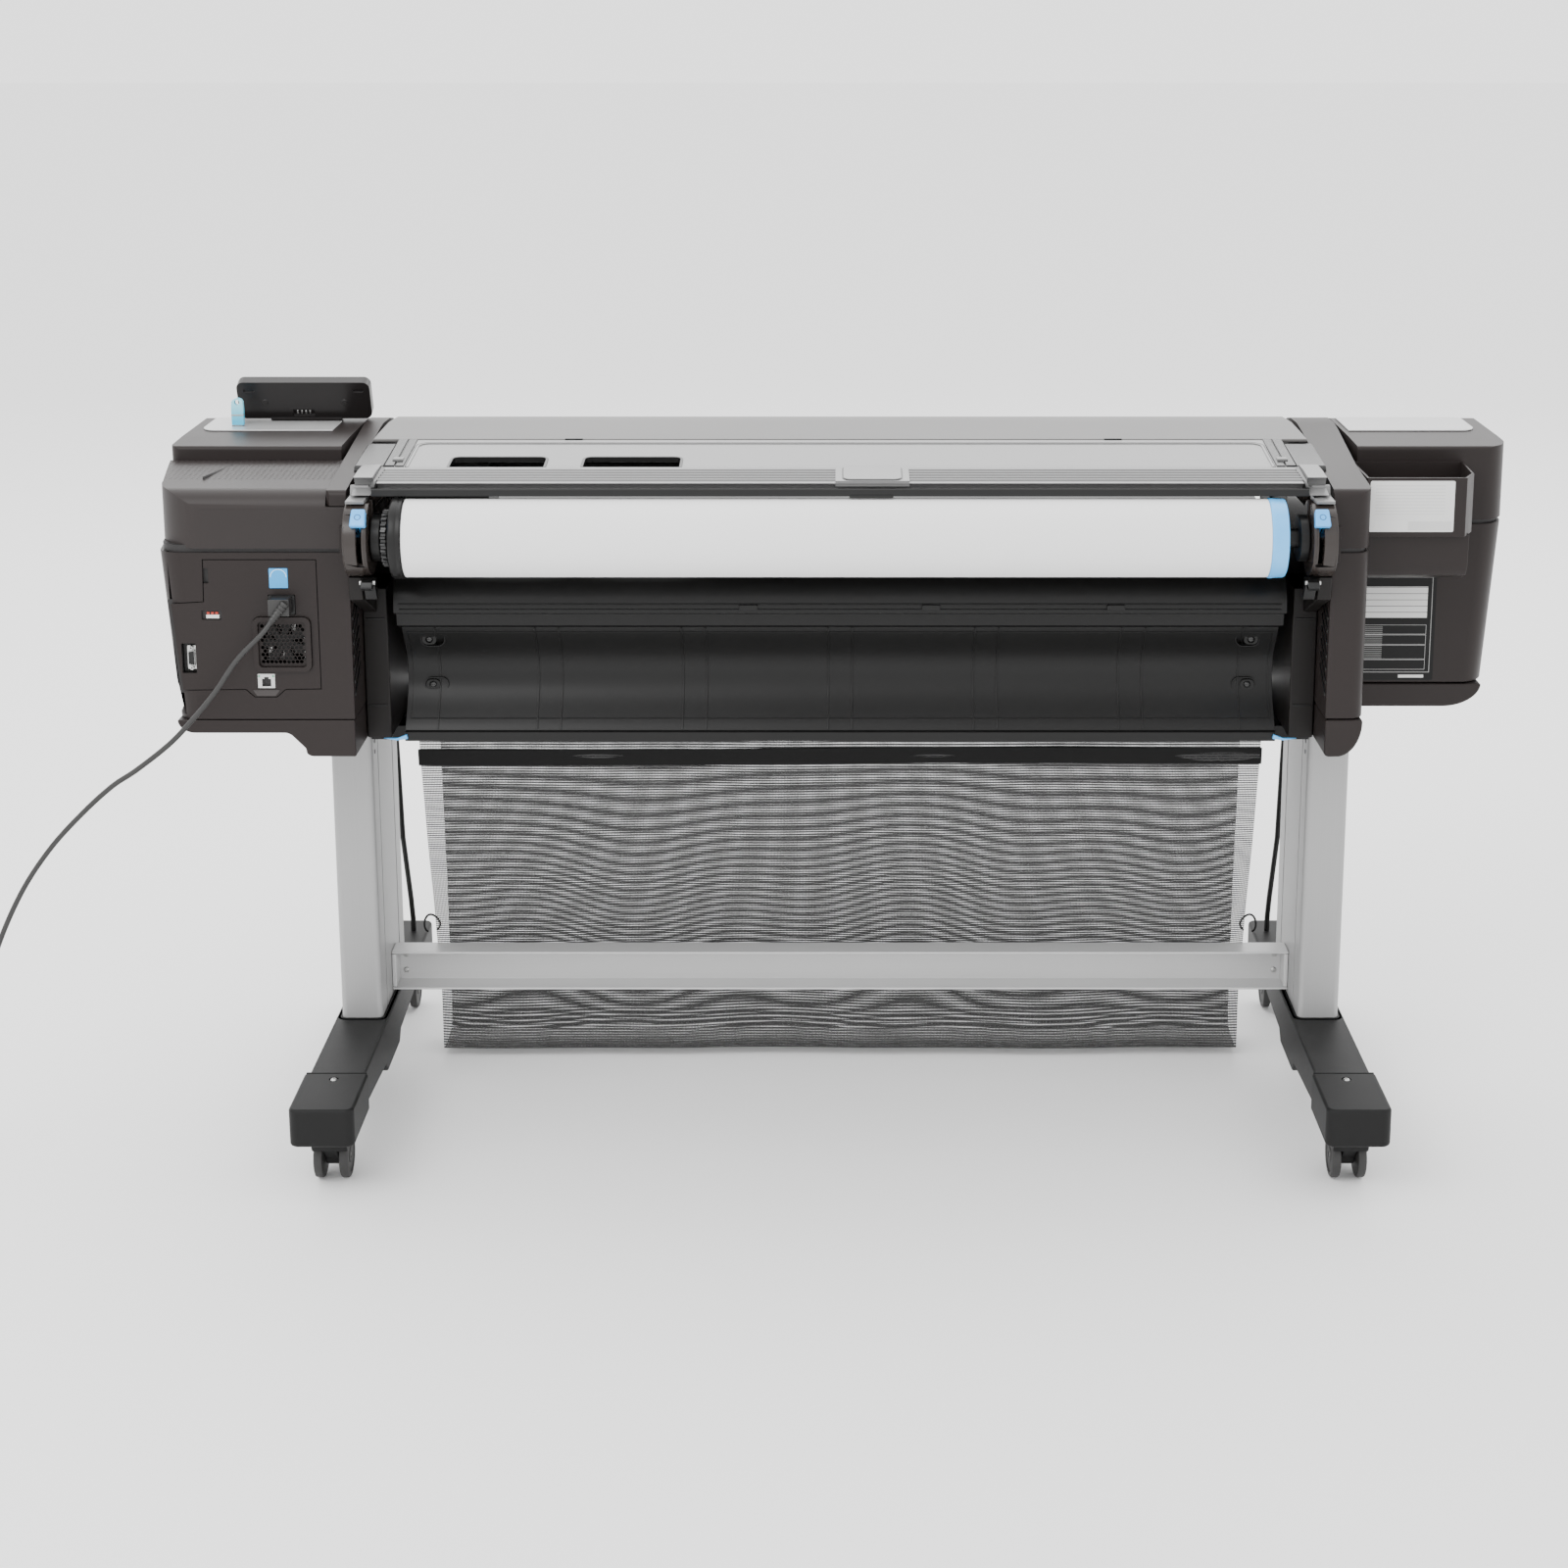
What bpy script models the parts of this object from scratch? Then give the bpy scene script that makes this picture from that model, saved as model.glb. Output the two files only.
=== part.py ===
"""Large format plotter on a wheeled stand, for 44-inch paper rolls.

Metres, +Z up. The side that the paper roll is loaded from faces -Y and is called the rear; left is -X.
The origin lies on the floor, under the middle of the machine.
"""

import math

import bmesh
import bpy
from mathutils import Matrix, Vector

# ---------------------------------------------------------------- driving dimensions
WIDTH = 1.802
DEPTH = 0.695
HEIGHT = 0.998
ROLL_LENGTH = 1.103
ROLL_RADIUS = 0.0505

HALF_WIDTH = WIDTH / 2
HALF_DEPTH = DEPTH / 2
GAP = 0.0003
WALL = 0.004

# The stand.
POST_X = 0.6695
POST_WIDTH = 0.057
POST_REAR_Y = -0.034
POST_FRONT_Y = 0.172
POST_TOP_Z = 0.5545
POST_WALL = 0.0035
FOOT_WIDTH = 0.074
FOOT_TOP_Z = 0.125
CAP_LENGTH = 0.119
CAP_WIDTH = 0.0845
CASTER_Y = 0.292
CASTER_TRAIL = 0.025
WHEEL_RADIUS = 0.030

# The body: heights of its seams and the places of its upright faces.
TOWER_REAR_Y = -0.190
BOX_REAR_Y = -0.010
BODY_FRONT_Y = 0.290
BOTTOM_Z = 0.555
LOWER_SEAM_Z = 0.605
UPPER_SEAM_Z = 0.832
TOP_Z = 0.936
BAY_HALF = 0.633
RIGHT_TOWER_OUT = 0.683
LEAN = 0.072

# The roll bay.
ROLL_Y = -0.200
ROLL_Z = 0.8505
FRAME_IN = 0.5995
FRAME_OUT = 0.6322
HOLDER_RADIUS = 0.049
BLADE_X = 0.609

# The cord: its route from the inlet plug to the coil, chosen by hand.
CORD_RADIUS = 0.0035
CORD_ROUTE = [
    (-0.7292, -0.2190, 0.7455),
    (-0.7420, -0.2235, 0.7290),
    (-0.7744, -0.2270, 0.6960),
    (-0.8045, -0.2300, 0.6530),
    (-0.8358, -0.2320, 0.6160),
    (-0.8670, -0.2330, 0.5840),
    (-0.9110, -0.2340, 0.5497),
    (-0.9422, -0.2345, 0.5290),
    (-0.9820, -0.2350, 0.4934),
    (-1.0280, -0.2350, 0.4440),
    (-1.0700, -0.2350, 0.3830),
    (-1.1070, -0.2350, 0.3050),
    (-1.1360, -0.2345, 0.2150),
    (-1.1570, -0.2335, 0.1250),
    (-1.1730, -0.2300, 0.0560),
    (-1.1870, -0.2230, 0.0200),
    (-1.2060, -0.2120, 0.0060),
    (-1.2300, -0.2010, 0.0040),
    (-1.2480, -0.1968, 0.0040),
]
COIL_CENTRE = (-1.2500, -0.2500)
COIL_RADIUS = 0.040
COIL_HALF_WIDTH = 0.0075
COIL_HEIGHT = 0.0150


# ---------------------------------------------------------------- clearing the scene
for old in list(bpy.data.objects):
    bpy.data.objects.remove(old, do_unlink=True)

PARTS = bpy.data.collections.new("large_format_plotter")
CUTTERS = bpy.data.collections.new("cutters")
CUTTERS.hide_render = True
for group in (PARTS, CUTTERS):
    bpy.context.scene.collection.children.link(group)


# ---------------------------------------------------------------- finishes
def finish(name, colour, roughness, metallic=0.0):
    made = bpy.data.materials.new(name)
    made.use_nodes = True
    shader = made.node_tree.nodes["Principled BSDF"]
    shader.inputs["Base Color"].default_value = (*colour, 1.0)
    shader.inputs["Roughness"].default_value = roughness
    shader.inputs["Metallic"].default_value = metallic
    made.diffuse_color = (*colour, 1.0)
    return made


HOUSING = finish("housing_plastic", (0.070, 0.060, 0.057), 0.50)
BAY_BLACK = finish("bay_black_plastic", (0.012, 0.012, 0.012), 0.35)
FOOT_GREY = finish("foot_plastic", (0.045, 0.045, 0.045), 0.55)
ALUMINIUM = finish("anodised_aluminium", (0.52, 0.52, 0.53), 0.42, 1.0)
SILVER = finish("silver_inlay", (0.70, 0.71, 0.71), 0.35)
WINDOW_GREY = finish("smoked_window", (0.18, 0.18, 0.19), 0.12)
PAPER = finish("paper", (0.90, 0.90, 0.90), 0.85)
BLUE = finish("touch_point_blue", (0.27, 0.60, 0.92), 0.40)
MESH_CLOTH = finish("mesh_cloth", (0.06, 0.06, 0.06), 0.90)
RUBBER = finish("cord_rubber", (0.015, 0.015, 0.015), 0.55)
BOARD = finish("port_metal", (0.55, 0.55, 0.52), 0.35, 1.0)


# ---------------------------------------------------------------- making shapes
def add(name, mesh, look=None):
    """Links a mesh as a part, or as a cutter when it has no finish."""
    made = bpy.data.objects.new(name, mesh)
    if look is None:
        made.hide_render = True
        made.display_type = "WIRE"
        CUTTERS.objects.link(made)
        return made
    mesh.materials.append(look)
    PARTS.objects.link(made)
    return made


def box(name, low, high, look=None):
    mesh = bpy.data.meshes.new(name)
    shape = bmesh.new()
    bmesh.ops.create_cube(shape, size=1.0)
    size = Vector(high) - Vector(low)
    middle = (Vector(high) + Vector(low)) / 2
    shape.transform(Matrix.Translation(middle) @ Matrix.Diagonal((*size, 1.0)))
    shape.to_mesh(mesh)
    shape.free()
    return add(name, mesh, look)


def rod(name, centre, radius, length, axis, look=None, steps=24):
    """A cylinder whose middle is at centre, along one of the axes."""
    mesh = bpy.data.meshes.new(name)
    shape = bmesh.new()
    bmesh.ops.create_cone(shape, cap_ends=True, segments=steps, radius1=radius, radius2=radius,
                          depth=length)
    turn = {"X": Matrix.Rotation(math.pi / 2, 4, "Y"), "Y": Matrix.Rotation(math.pi / 2, 4, "X"),
            "Z": Matrix()}
    shape.transform(Matrix.Translation(centre) @ turn[axis])
    shape.to_mesh(mesh)
    shape.free()
    return add(name, mesh, look)


def arc(centre, radii, start, end, steps):
    """Points on an ellipse from one angle to another, in degrees."""
    turned_to = [math.radians(start + (end - start) * i / steps) for i in range(steps + 1)]
    return [(centre[0] + radii[0] * math.cos(a), centre[1] + radii[1] * math.sin(a)) for a in turned_to]


def rounded(low, high, radius, steps=3):
    """A rectangle's outline with round corners."""
    inner = [(high[0] - radius, high[1] - radius), (low[0] + radius, high[1] - radius),
             (low[0] + radius, low[1] + radius), (high[0] - radius, low[1] + radius)]
    points = []
    for turn, corner in enumerate(inner):
        points += arc(corner, (radius, radius), 90 * turn, 90 * turn + 90, steps)
    return points


# How an outline's two directions and its thickness lie: seen from the side, from the rear, or from above.
VIEWS = {
    "side": Matrix(((0, 0, 1, 0), (1, 0, 0, 0), (0, 1, 0, 0), (0, 0, 0, 1))),
    "rear": Matrix(((1, 0, 0, 0), (0, 0, -1, 0), (0, 1, 0, 0), (0, 0, 0, 1))),
    "plan": Matrix(),
}
THICKNESS_ALONG = {"side": (1, 0, 0), "rear": (0, 1, 0), "plan": (0, 0, 1)}


def slab(name, view, outline, low, high, look=None, holes=()):
    """A flat outline, with any holes, given thickness from low to high: a filled 2D curve made into a mesh."""
    curve = bpy.data.curves.new(name, "CURVE")
    curve.dimensions = "2D"
    curve.fill_mode = "BOTH"
    curve.extrude = (high - low) / 2
    for loop in (outline, *holes):
        spline = curve.splines.new("POLY")
        spline.points.add(len(loop) - 1)
        for point, (a, b) in zip(spline.points, loop):
            point.co = (a, b, 0.0, 1.0)
        spline.use_cyclic_u = True
    flat = bpy.data.objects.new(name + "_outline", curve)
    bpy.context.scene.collection.objects.link(flat)
    graph = bpy.context.evaluated_depsgraph_get()
    mesh = bpy.data.meshes.new_from_object(flat.evaluated_get(graph))
    bpy.data.objects.remove(flat, do_unlink=True)
    bpy.data.curves.remove(curve)
    mesh.name = name
    shape = bmesh.new()
    shape.from_mesh(mesh)
    bmesh.ops.remove_doubles(shape, verts=shape.verts, dist=1e-6)
    bmesh.ops.dissolve_limit(shape, angle_limit=0.001, verts=shape.verts, edges=shape.edges)
    middle = Vector(THICKNESS_ALONG[view]) * (low + high) / 2
    shape.transform(Matrix.Translation(middle) @ VIEWS[view])
    bmesh.ops.recalc_face_normals(shape, faces=shape.faces)
    if shape.calc_volume(signed=True) < 0:
        bmesh.ops.reverse_faces(shape, faces=shape.faces)
    shape.to_mesh(mesh)
    shape.free()
    mesh.materials.clear()
    return add(name, mesh, look)


def turned(name, profile, centre, axis, look=None, steps=24, hollow=False, start=0.0):
    """A profile of (along, radius) pairs turned about an axis; its outer side runs from the low end to the high."""
    mesh = bpy.data.meshes.new(name)
    points = [(radius * math.cos(start), radius * math.sin(start), along)
              for along, radius in reversed(profile)]
    edges = [(i, i + 1) for i in range(len(points) - 1)]
    if hollow:
        edges.append((len(points) - 1, 0))
    mesh.from_pydata(points, edges, [])
    made = add(name, mesh, look)
    spin = made.modifiers.new("turned", "SCREW")
    spin.steps = steps
    spin.render_steps = steps
    spin.use_merge_vertices = True
    spin.merge_threshold = 1e-5
    facing = {"X": (0, math.pi / 2, 0), "Y": (-math.pi / 2, 0, 0), "Z": (0, 0, 0)}
    made.rotation_euler = facing[axis]
    made.location = centre
    return made


def combine(target, other, operation):
    step = target.modifiers.new(operation.lower(), "BOOLEAN")
    step.operation = operation
    step.object = other
    return target


def cut(target, *cutters):
    for cutter in cutters:
        combine(target, cutter, "DIFFERENCE")


def join(target, *others):
    for other in others:
        combine(target, other, "UNION")


def keep_inside(target, other):
    combine(target, other, "INTERSECT")


def soften(target, width, segments=2, angle=35):
    edge = target.modifiers.new("soft_edges", "BEVEL")
    edge.width = width
    edge.segments = segments
    edge.limit_method = "ANGLE"
    edge.angle_limit = math.radians(angle)


def origin_to(target, point):
    """Moves an object's origin without moving its shape."""
    target.data.transform(Matrix.Translation(-Vector(point)))
    target.location = point


def lean_side(target, edge_x, top_z):
    """Draws a side wall in towards its foot: the lower a point is, the further it moves to the middle."""
    inward = -math.copysign(1.0, edge_x)
    for vertex in target.data.vertices:
        if vertex.co.x * edge_x > 0 and abs(vertex.co.x) > abs(edge_x):
            vertex.co.x += inward * LEAN * (top_z - vertex.co.z)


def mirrored(points):
    return [(-a, b) for a, b in reversed(points)]


# ---------------------------------------------------------------- stand
def make_foot(name, x):
    half = [(0.050, 0.053), (0.064, 0.068), (0.225, 0.079), (0.335, 0.0795), (0.335, FOOT_TOP_Z)]
    outline = half + mirrored(half)
    foot = slab(name, "side", outline, x - FOOT_WIDTH / 2, x + FOOT_WIDTH / 2, FOOT_GREY)
    clear = 0.003
    socket = rounded((x - POST_WIDTH / 2 - clear, POST_REAR_Y - clear),
                     (x + POST_WIDTH / 2 + clear, POST_FRONT_Y + clear), 0.009)
    cut(foot, slab(name + "_socket", "plan", socket, 0.078, 0.2))
    for y in (-CASTER_Y, CASTER_Y):
        cut(foot, rod(name + "_stem_bore", (x, y, 0.090), 0.0060, 0.030, "Z"))
    return foot


def make_foot_cap(name, x, end):
    """A moulded shell over a foot's end, open below and towards the middle."""
    inner_y = HALF_DEPTH - CAP_LENGTH
    half = CAP_WIDTH / 2
    plan = [(x - half, inner_y), (x + half, inner_y)]
    plan += arc((x + half - 0.012, HALF_DEPTH - 0.012), (0.012, 0.012), 0, 75, 3)
    plan += arc((x - half + 0.012, HALF_DEPTH - 0.012), (0.012, 0.012), 105, 180, 3)
    if end < 0:
        plan = [(a, -b) for a, b in reversed(plan)]
    cap = slab(name, "plan", plan, 0.0766, 0.1285, FOOT_GREY)
    soften(cap, 0.004)
    lows = (x - FOOT_WIDTH / 2 - 0.001, min(end * (inner_y - 0.01), end * (HALF_DEPTH - 0.0045)), 0.060)
    highs = (x + FOOT_WIDTH / 2 + 0.001, max(end * (inner_y - 0.01), end * (HALF_DEPTH - 0.0045)), 0.1255)
    cut(cap, box(name + "_hollow", lows, highs))
    return cap


def make_caster(side, end, x, y):
    """A swivelling fork with a stem in the foot, and a pair of wheels on one axle."""
    axle = (x, y + CASTER_TRAIL, WHEEL_RADIUS)
    name = f"{side}_{end}_caster"
    outline = [(y - 0.014, 0.0785), (y - 0.014, 0.066), (y - 0.002, 0.046)]
    outline += arc((axle[1], axle[2]), (0.012, 0.012), 180, 400, 8)
    outline += [(y + 0.030, 0.064), (y + 0.020, 0.0785)]
    fork = slab(name + "_fork", "side", outline, x - 0.010, x + 0.010, FOOT_GREY)
    origin_to(fork, (x, y, 0.0))
    hood = box(name + "_hood", (x - 0.020, y - 0.016, 0.0635), (x + 0.020, y + 0.026, 0.0784))
    stem = rod(name + "_stem", (x, y, 0.0855), 0.0050, 0.026, "Z", steps=16)
    join(fork, hood, stem)
    cut(fork, rod(name + "_axle_bore", axle, 0.0042, 0.030, "X", steps=16))
    steps = 22
    corner = WHEEL_RADIUS / math.cos(math.pi / steps)
    half = [(-0.0228, 0.0), (-0.0228, 0.026), (-0.0200, corner), (-0.0135, corner), (-0.0108, 0.027),
            (-0.0108, 0.0036)]
    profile = half + mirrored(half)
    turned(name + "_wheels", profile, axle, "X", FOOT_GREY, steps, start=math.pi / steps)


def make_post(name, x, inner):
    outline = rounded((x - POST_WIDTH / 2, POST_REAR_Y), (x + POST_WIDTH / 2, POST_FRONT_Y), 0.008)
    post = slab(name, "plan", outline, 0.0783, POST_TOP_Z, ALUMINIUM)
    hollow = rounded((x - POST_WIDTH / 2 + POST_WALL, POST_REAR_Y + POST_WALL),
                     (x + POST_WIDTH / 2 - POST_WALL, POST_FRONT_Y - POST_WALL), 0.005)
    cut(post, slab(name + "_hollow", "plan", hollow, 0.0, 0.7))
    face = x + inner * POST_WIDTH / 2
    for y in (0.010, 0.124):
        low_x, high_x = sorted((face - inner * 0.0018, face + inner * 0.01))
        cut(post, box(name + "_groove", (low_x, y - 0.0025, 0.0), (high_x, y + 0.0025, 0.7)))


def make_stand():
    for side, x in (("left", -POST_X), ("right", POST_X)):
        make_foot(side + "_foot", x)
        make_post(side + "_post", x, -math.copysign(1, x))
        for end, y in (("rear", -1), ("front", 1)):
            make_foot_cap(f"{side}_{end}_foot_cap", x, y)
            make_caster(side, end, x, y * CASTER_Y)
    reach = POST_X - POST_WIDTH / 2 - GAP
    low, high, thick = 0.1325, 0.1895, 0.003
    channel = [(0.053, low), (0.092, low), (0.092, high), (0.053, high), (0.053, high - thick),
               (0.092 - thick, high - thick), (0.092 - thick, low + thick), (0.053, low + thick)]
    slab("cross_beam", "side", channel, -reach, reach, ALUMINIUM)
    tray = box("base_tray", (-reach, POST_REAR_Y, 0.532), (reach, 0.200, 0.551), BAY_BLACK)
    cut(tray,
        box("base_tray_hollow", (-reach + 0.01, POST_REAR_Y + WALL, 0.536), (reach - 0.01, 0.196, 0.6)))


make_stand()


# ---------------------------------------------------------------- print basket
def make_basket():
    """The cloth trough under the machine, as one thin folded sheet, and the bent tube that carries it."""
    half = 0.585
    near = [(0.0185, 0.5310), (0.0220, 0.5020), (0.0250, 0.4780), (0.0530, 0.3390), (0.1000, 0.1715),
            (0.1195, 0.1060), (0.1215, 0.0290), (0.1280, 0.0125)]
    far = [(0.1950, 0.0125), (0.2050, 0.0200), (0.2130, 0.0660), (0.2070, 0.2000), (0.2050, 0.5150)]
    line = near + far
    sheet = [(y, z) for y, z in line]
    thick = 0.003
    back = []
    for index in range(len(line) - 1, -1, -1):
        before = Vector(line[max(index - 1, 0)])
        after = Vector(line[min(index + 1, len(line) - 1)])
        along = (after - before).normalized()
        back.append((line[index][0] - along.y * thick, line[index][1] + along.x * thick))
    slab("basket_cloth", "side", sheet + back, -half, half, MESH_CLOTH)

    points = []
    bend = 0.040
    foot_y, foot_z = 0.300, 0.1292
    top_y, top_z = 0.2060, 0.5250
    x = POST_X - 0.020
    points += [(-x, foot_y, foot_z), (-x, foot_y, 0.150), (-x, foot_y - 0.012, 0.185),
               (-x, top_y + 0.030, 0.300),
               (-x, top_y + 0.012, 0.420)]
    corner = arc((0.0, 0.0), (bend, bend), 180, 90, 5)
    points += [(-x + bend + a, top_y, top_z - bend + b) for a, b in corner]
    points += [(-a, b, c) for a, b, c in reversed(points)]
    wire("basket_frame", points, 0.0040, BAY_BLACK)


def wire(name, points, radius, look):
    curve = bpy.data.curves.new(name, "CURVE")
    curve.dimensions = "3D"
    curve.bevel_depth = radius
    curve.bevel_resolution = 2
    curve.use_fill_caps = True
    spline = curve.splines.new("POLY")
    spline.points.add(len(points) - 1)
    for point, place in zip(spline.points, points):
        point.co = (*place, 1.0)
    curve.materials.append(look)
    made = bpy.data.objects.new(name, curve)
    PARTS.objects.link(made)
    return made


make_basket()


# ---------------------------------------------------------------- left end: electronics box
def left_plan(corner, grow=0.0):
    """The left end's outline from above: its side draws in towards the rear. Grow is negative for the inside."""
    rear = TOWER_REAR_Y - grow
    side_rear = -0.8815 - grow
    side = -HALF_WIDTH - grow
    points = [(-BAY_HALF + grow, rear)]
    points += [(a, b) for a, b in arc((side_rear + corner, rear + corner), (corner, corner), 270, 180, 4)]
    points += [(side, BOX_REAR_Y), (side, 0.230)]
    points += arc((side + 0.055, BODY_FRONT_Y - 0.055 + grow), (0.055, 0.055), 180, 90, 4)
    points += [(-BAY_HALF + grow, BODY_FRONT_Y + grow)]
    return points


# The connector plate's outline, seen from the rear.
PLATE_OUTLINE = [
    (-0.8218, 0.8199), (-0.8231, 0.7641), (-0.8661, 0.7616), (-0.8560, 0.6445), (-0.7736, 0.6457),
    (-0.7622, 0.6355), (-0.7330, 0.6355), (-0.7216, 0.6457), (-0.6747, 0.6463), (-0.6747, 0.8199),
]
FAN_CENTRE = (-0.7229, 0.7072)
FAN_HALF = 0.0380
INLET = ((-0.7394, 0.7464), (-0.7039, 0.7730))
SERIAL = ((-0.8545, 0.6680), (-0.8360, 0.7080))
NETWORK = ((-0.7584, 0.6470), (-0.7343, 0.6678))


def inset(outline, distance):
    """An outline drawn in towards its middle by about the distance."""
    middle_a = sum(a for a, _ in outline) / len(outline)
    middle_b = sum(b for _, b in outline) / len(outline)
    reach = max(math.hypot(a - middle_a, b - middle_b) for a, b in outline)
    share = 1 - distance / reach
    return [(middle_a + (a - middle_a) * share, middle_b + (b - middle_b) * share) for a, b in outline]


def make_electronics_box():
    housing = slab("electronics_housing", "plan", left_plan(0.015), LOWER_SEAM_Z + 0.0008,
                   UPPER_SEAM_Z - 0.002, HOUSING)
    lean_side(housing, -0.80, UPPER_SEAM_Z)
    soften(housing, 0.0025)
    hollow = slab("electronics_hollow", "plan", left_plan(0.012, -WALL), LOWER_SEAM_Z + 0.005, 0.9)
    lean_side(hollow, -0.80, UPPER_SEAM_Z)
    opening = slab("plate_opening", "rear", PLATE_OUTLINE, TOWER_REAR_Y - 0.01, TOWER_REAR_Y + 0.012)
    cut(housing, hollow, opening)

    x, z = FAN_CENTRE
    windows = [rounded((x - FAN_HALF, z - FAN_HALF + 0.001), (x + FAN_HALF, z + FAN_HALF - 0.001), 0.008)]
    windows += [rounded(low, high, 0.001, 1) for low, high in (INLET, SERIAL, NETWORK)]
    outer = inset(PLATE_OUTLINE, 0.0012)
    slab("connector_plate", "rear", outer, TOWER_REAR_Y, TOWER_REAR_Y + 0.0032, HOUSING, windows)

    make_fan(x, z)
    (low_x, low_z), (high_x, high_z) = INLET
    inlet = box("power_inlet", (low_x + 2 * GAP, TOWER_REAR_Y - 0.001, low_z + 2 * GAP),
                (high_x - 2 * GAP, TOWER_REAR_Y + 0.030, high_z - 2 * GAP), BAY_BLACK)
    cut(inlet,
        box("inlet_mouth", (-0.7345, TOWER_REAR_Y - 0.01, 0.7505), (-0.7088, TOWER_REAR_Y + 0.022, 0.7690)))

    card = [(-0.8600, 0.6480), (-0.7330, 0.6480), (-0.7330, 0.6720), (-0.7600, 0.6720), (-0.7600, 0.7100),
            (-0.8600, 0.7100)]
    board = slab("port_board", "rear", card, TOWER_REAR_Y + 0.0120, TOWER_REAR_Y + 0.0140, BOARD)
    for low, high in (SERIAL, NETWORK):
        join(board, box("port_shell", (low[0] + 0.002, TOWER_REAR_Y + 0.001, low[1] + 0.002),
                        (high[0] - 0.002, TOWER_REAR_Y + 0.0130, high[1] - 0.001)))


def make_fan(x, z):
    outline = rounded((x - FAN_HALF + 0.0006, z - FAN_HALF + 0.0016),
                      (x + FAN_HALF - 0.0006, z + FAN_HALF - 0.0016), 0.0075)
    across, pitch = 0.0052, 0.0122
    holes = []
    for row in range(5):
        for column in range(5):
            shift = pitch / 2 if row % 2 else 0.0
            hole_x = x + (column - 2) * pitch + shift - pitch / 4
            hole_z = z + (row - 2) * pitch * 0.93
            holes.append(arc((hole_x, hole_z), (across, across), 30, 330, 5))
    slab("fan_grille", "rear", outline, TOWER_REAR_Y - 0.002, TOWER_REAR_Y + 0.003, HOUSING, holes)
    blades = []
    count, hub, tip = 7, 0.012, 0.0285
    for blade in range(count):
        start = 360 * blade / count
        blades += arc((x, z), (hub, hub), start, start + 12, 1)
        blades += arc((x, z), (tip, tip), start + 14, start + 44, 3)
    rotor = slab("fan_rotor", "rear", blades, TOWER_REAR_Y + 0.010, TOWER_REAR_Y + 0.024, BAY_BLACK)
    origin_to(rotor, (x, TOWER_REAR_Y + 0.017, z))


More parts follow.
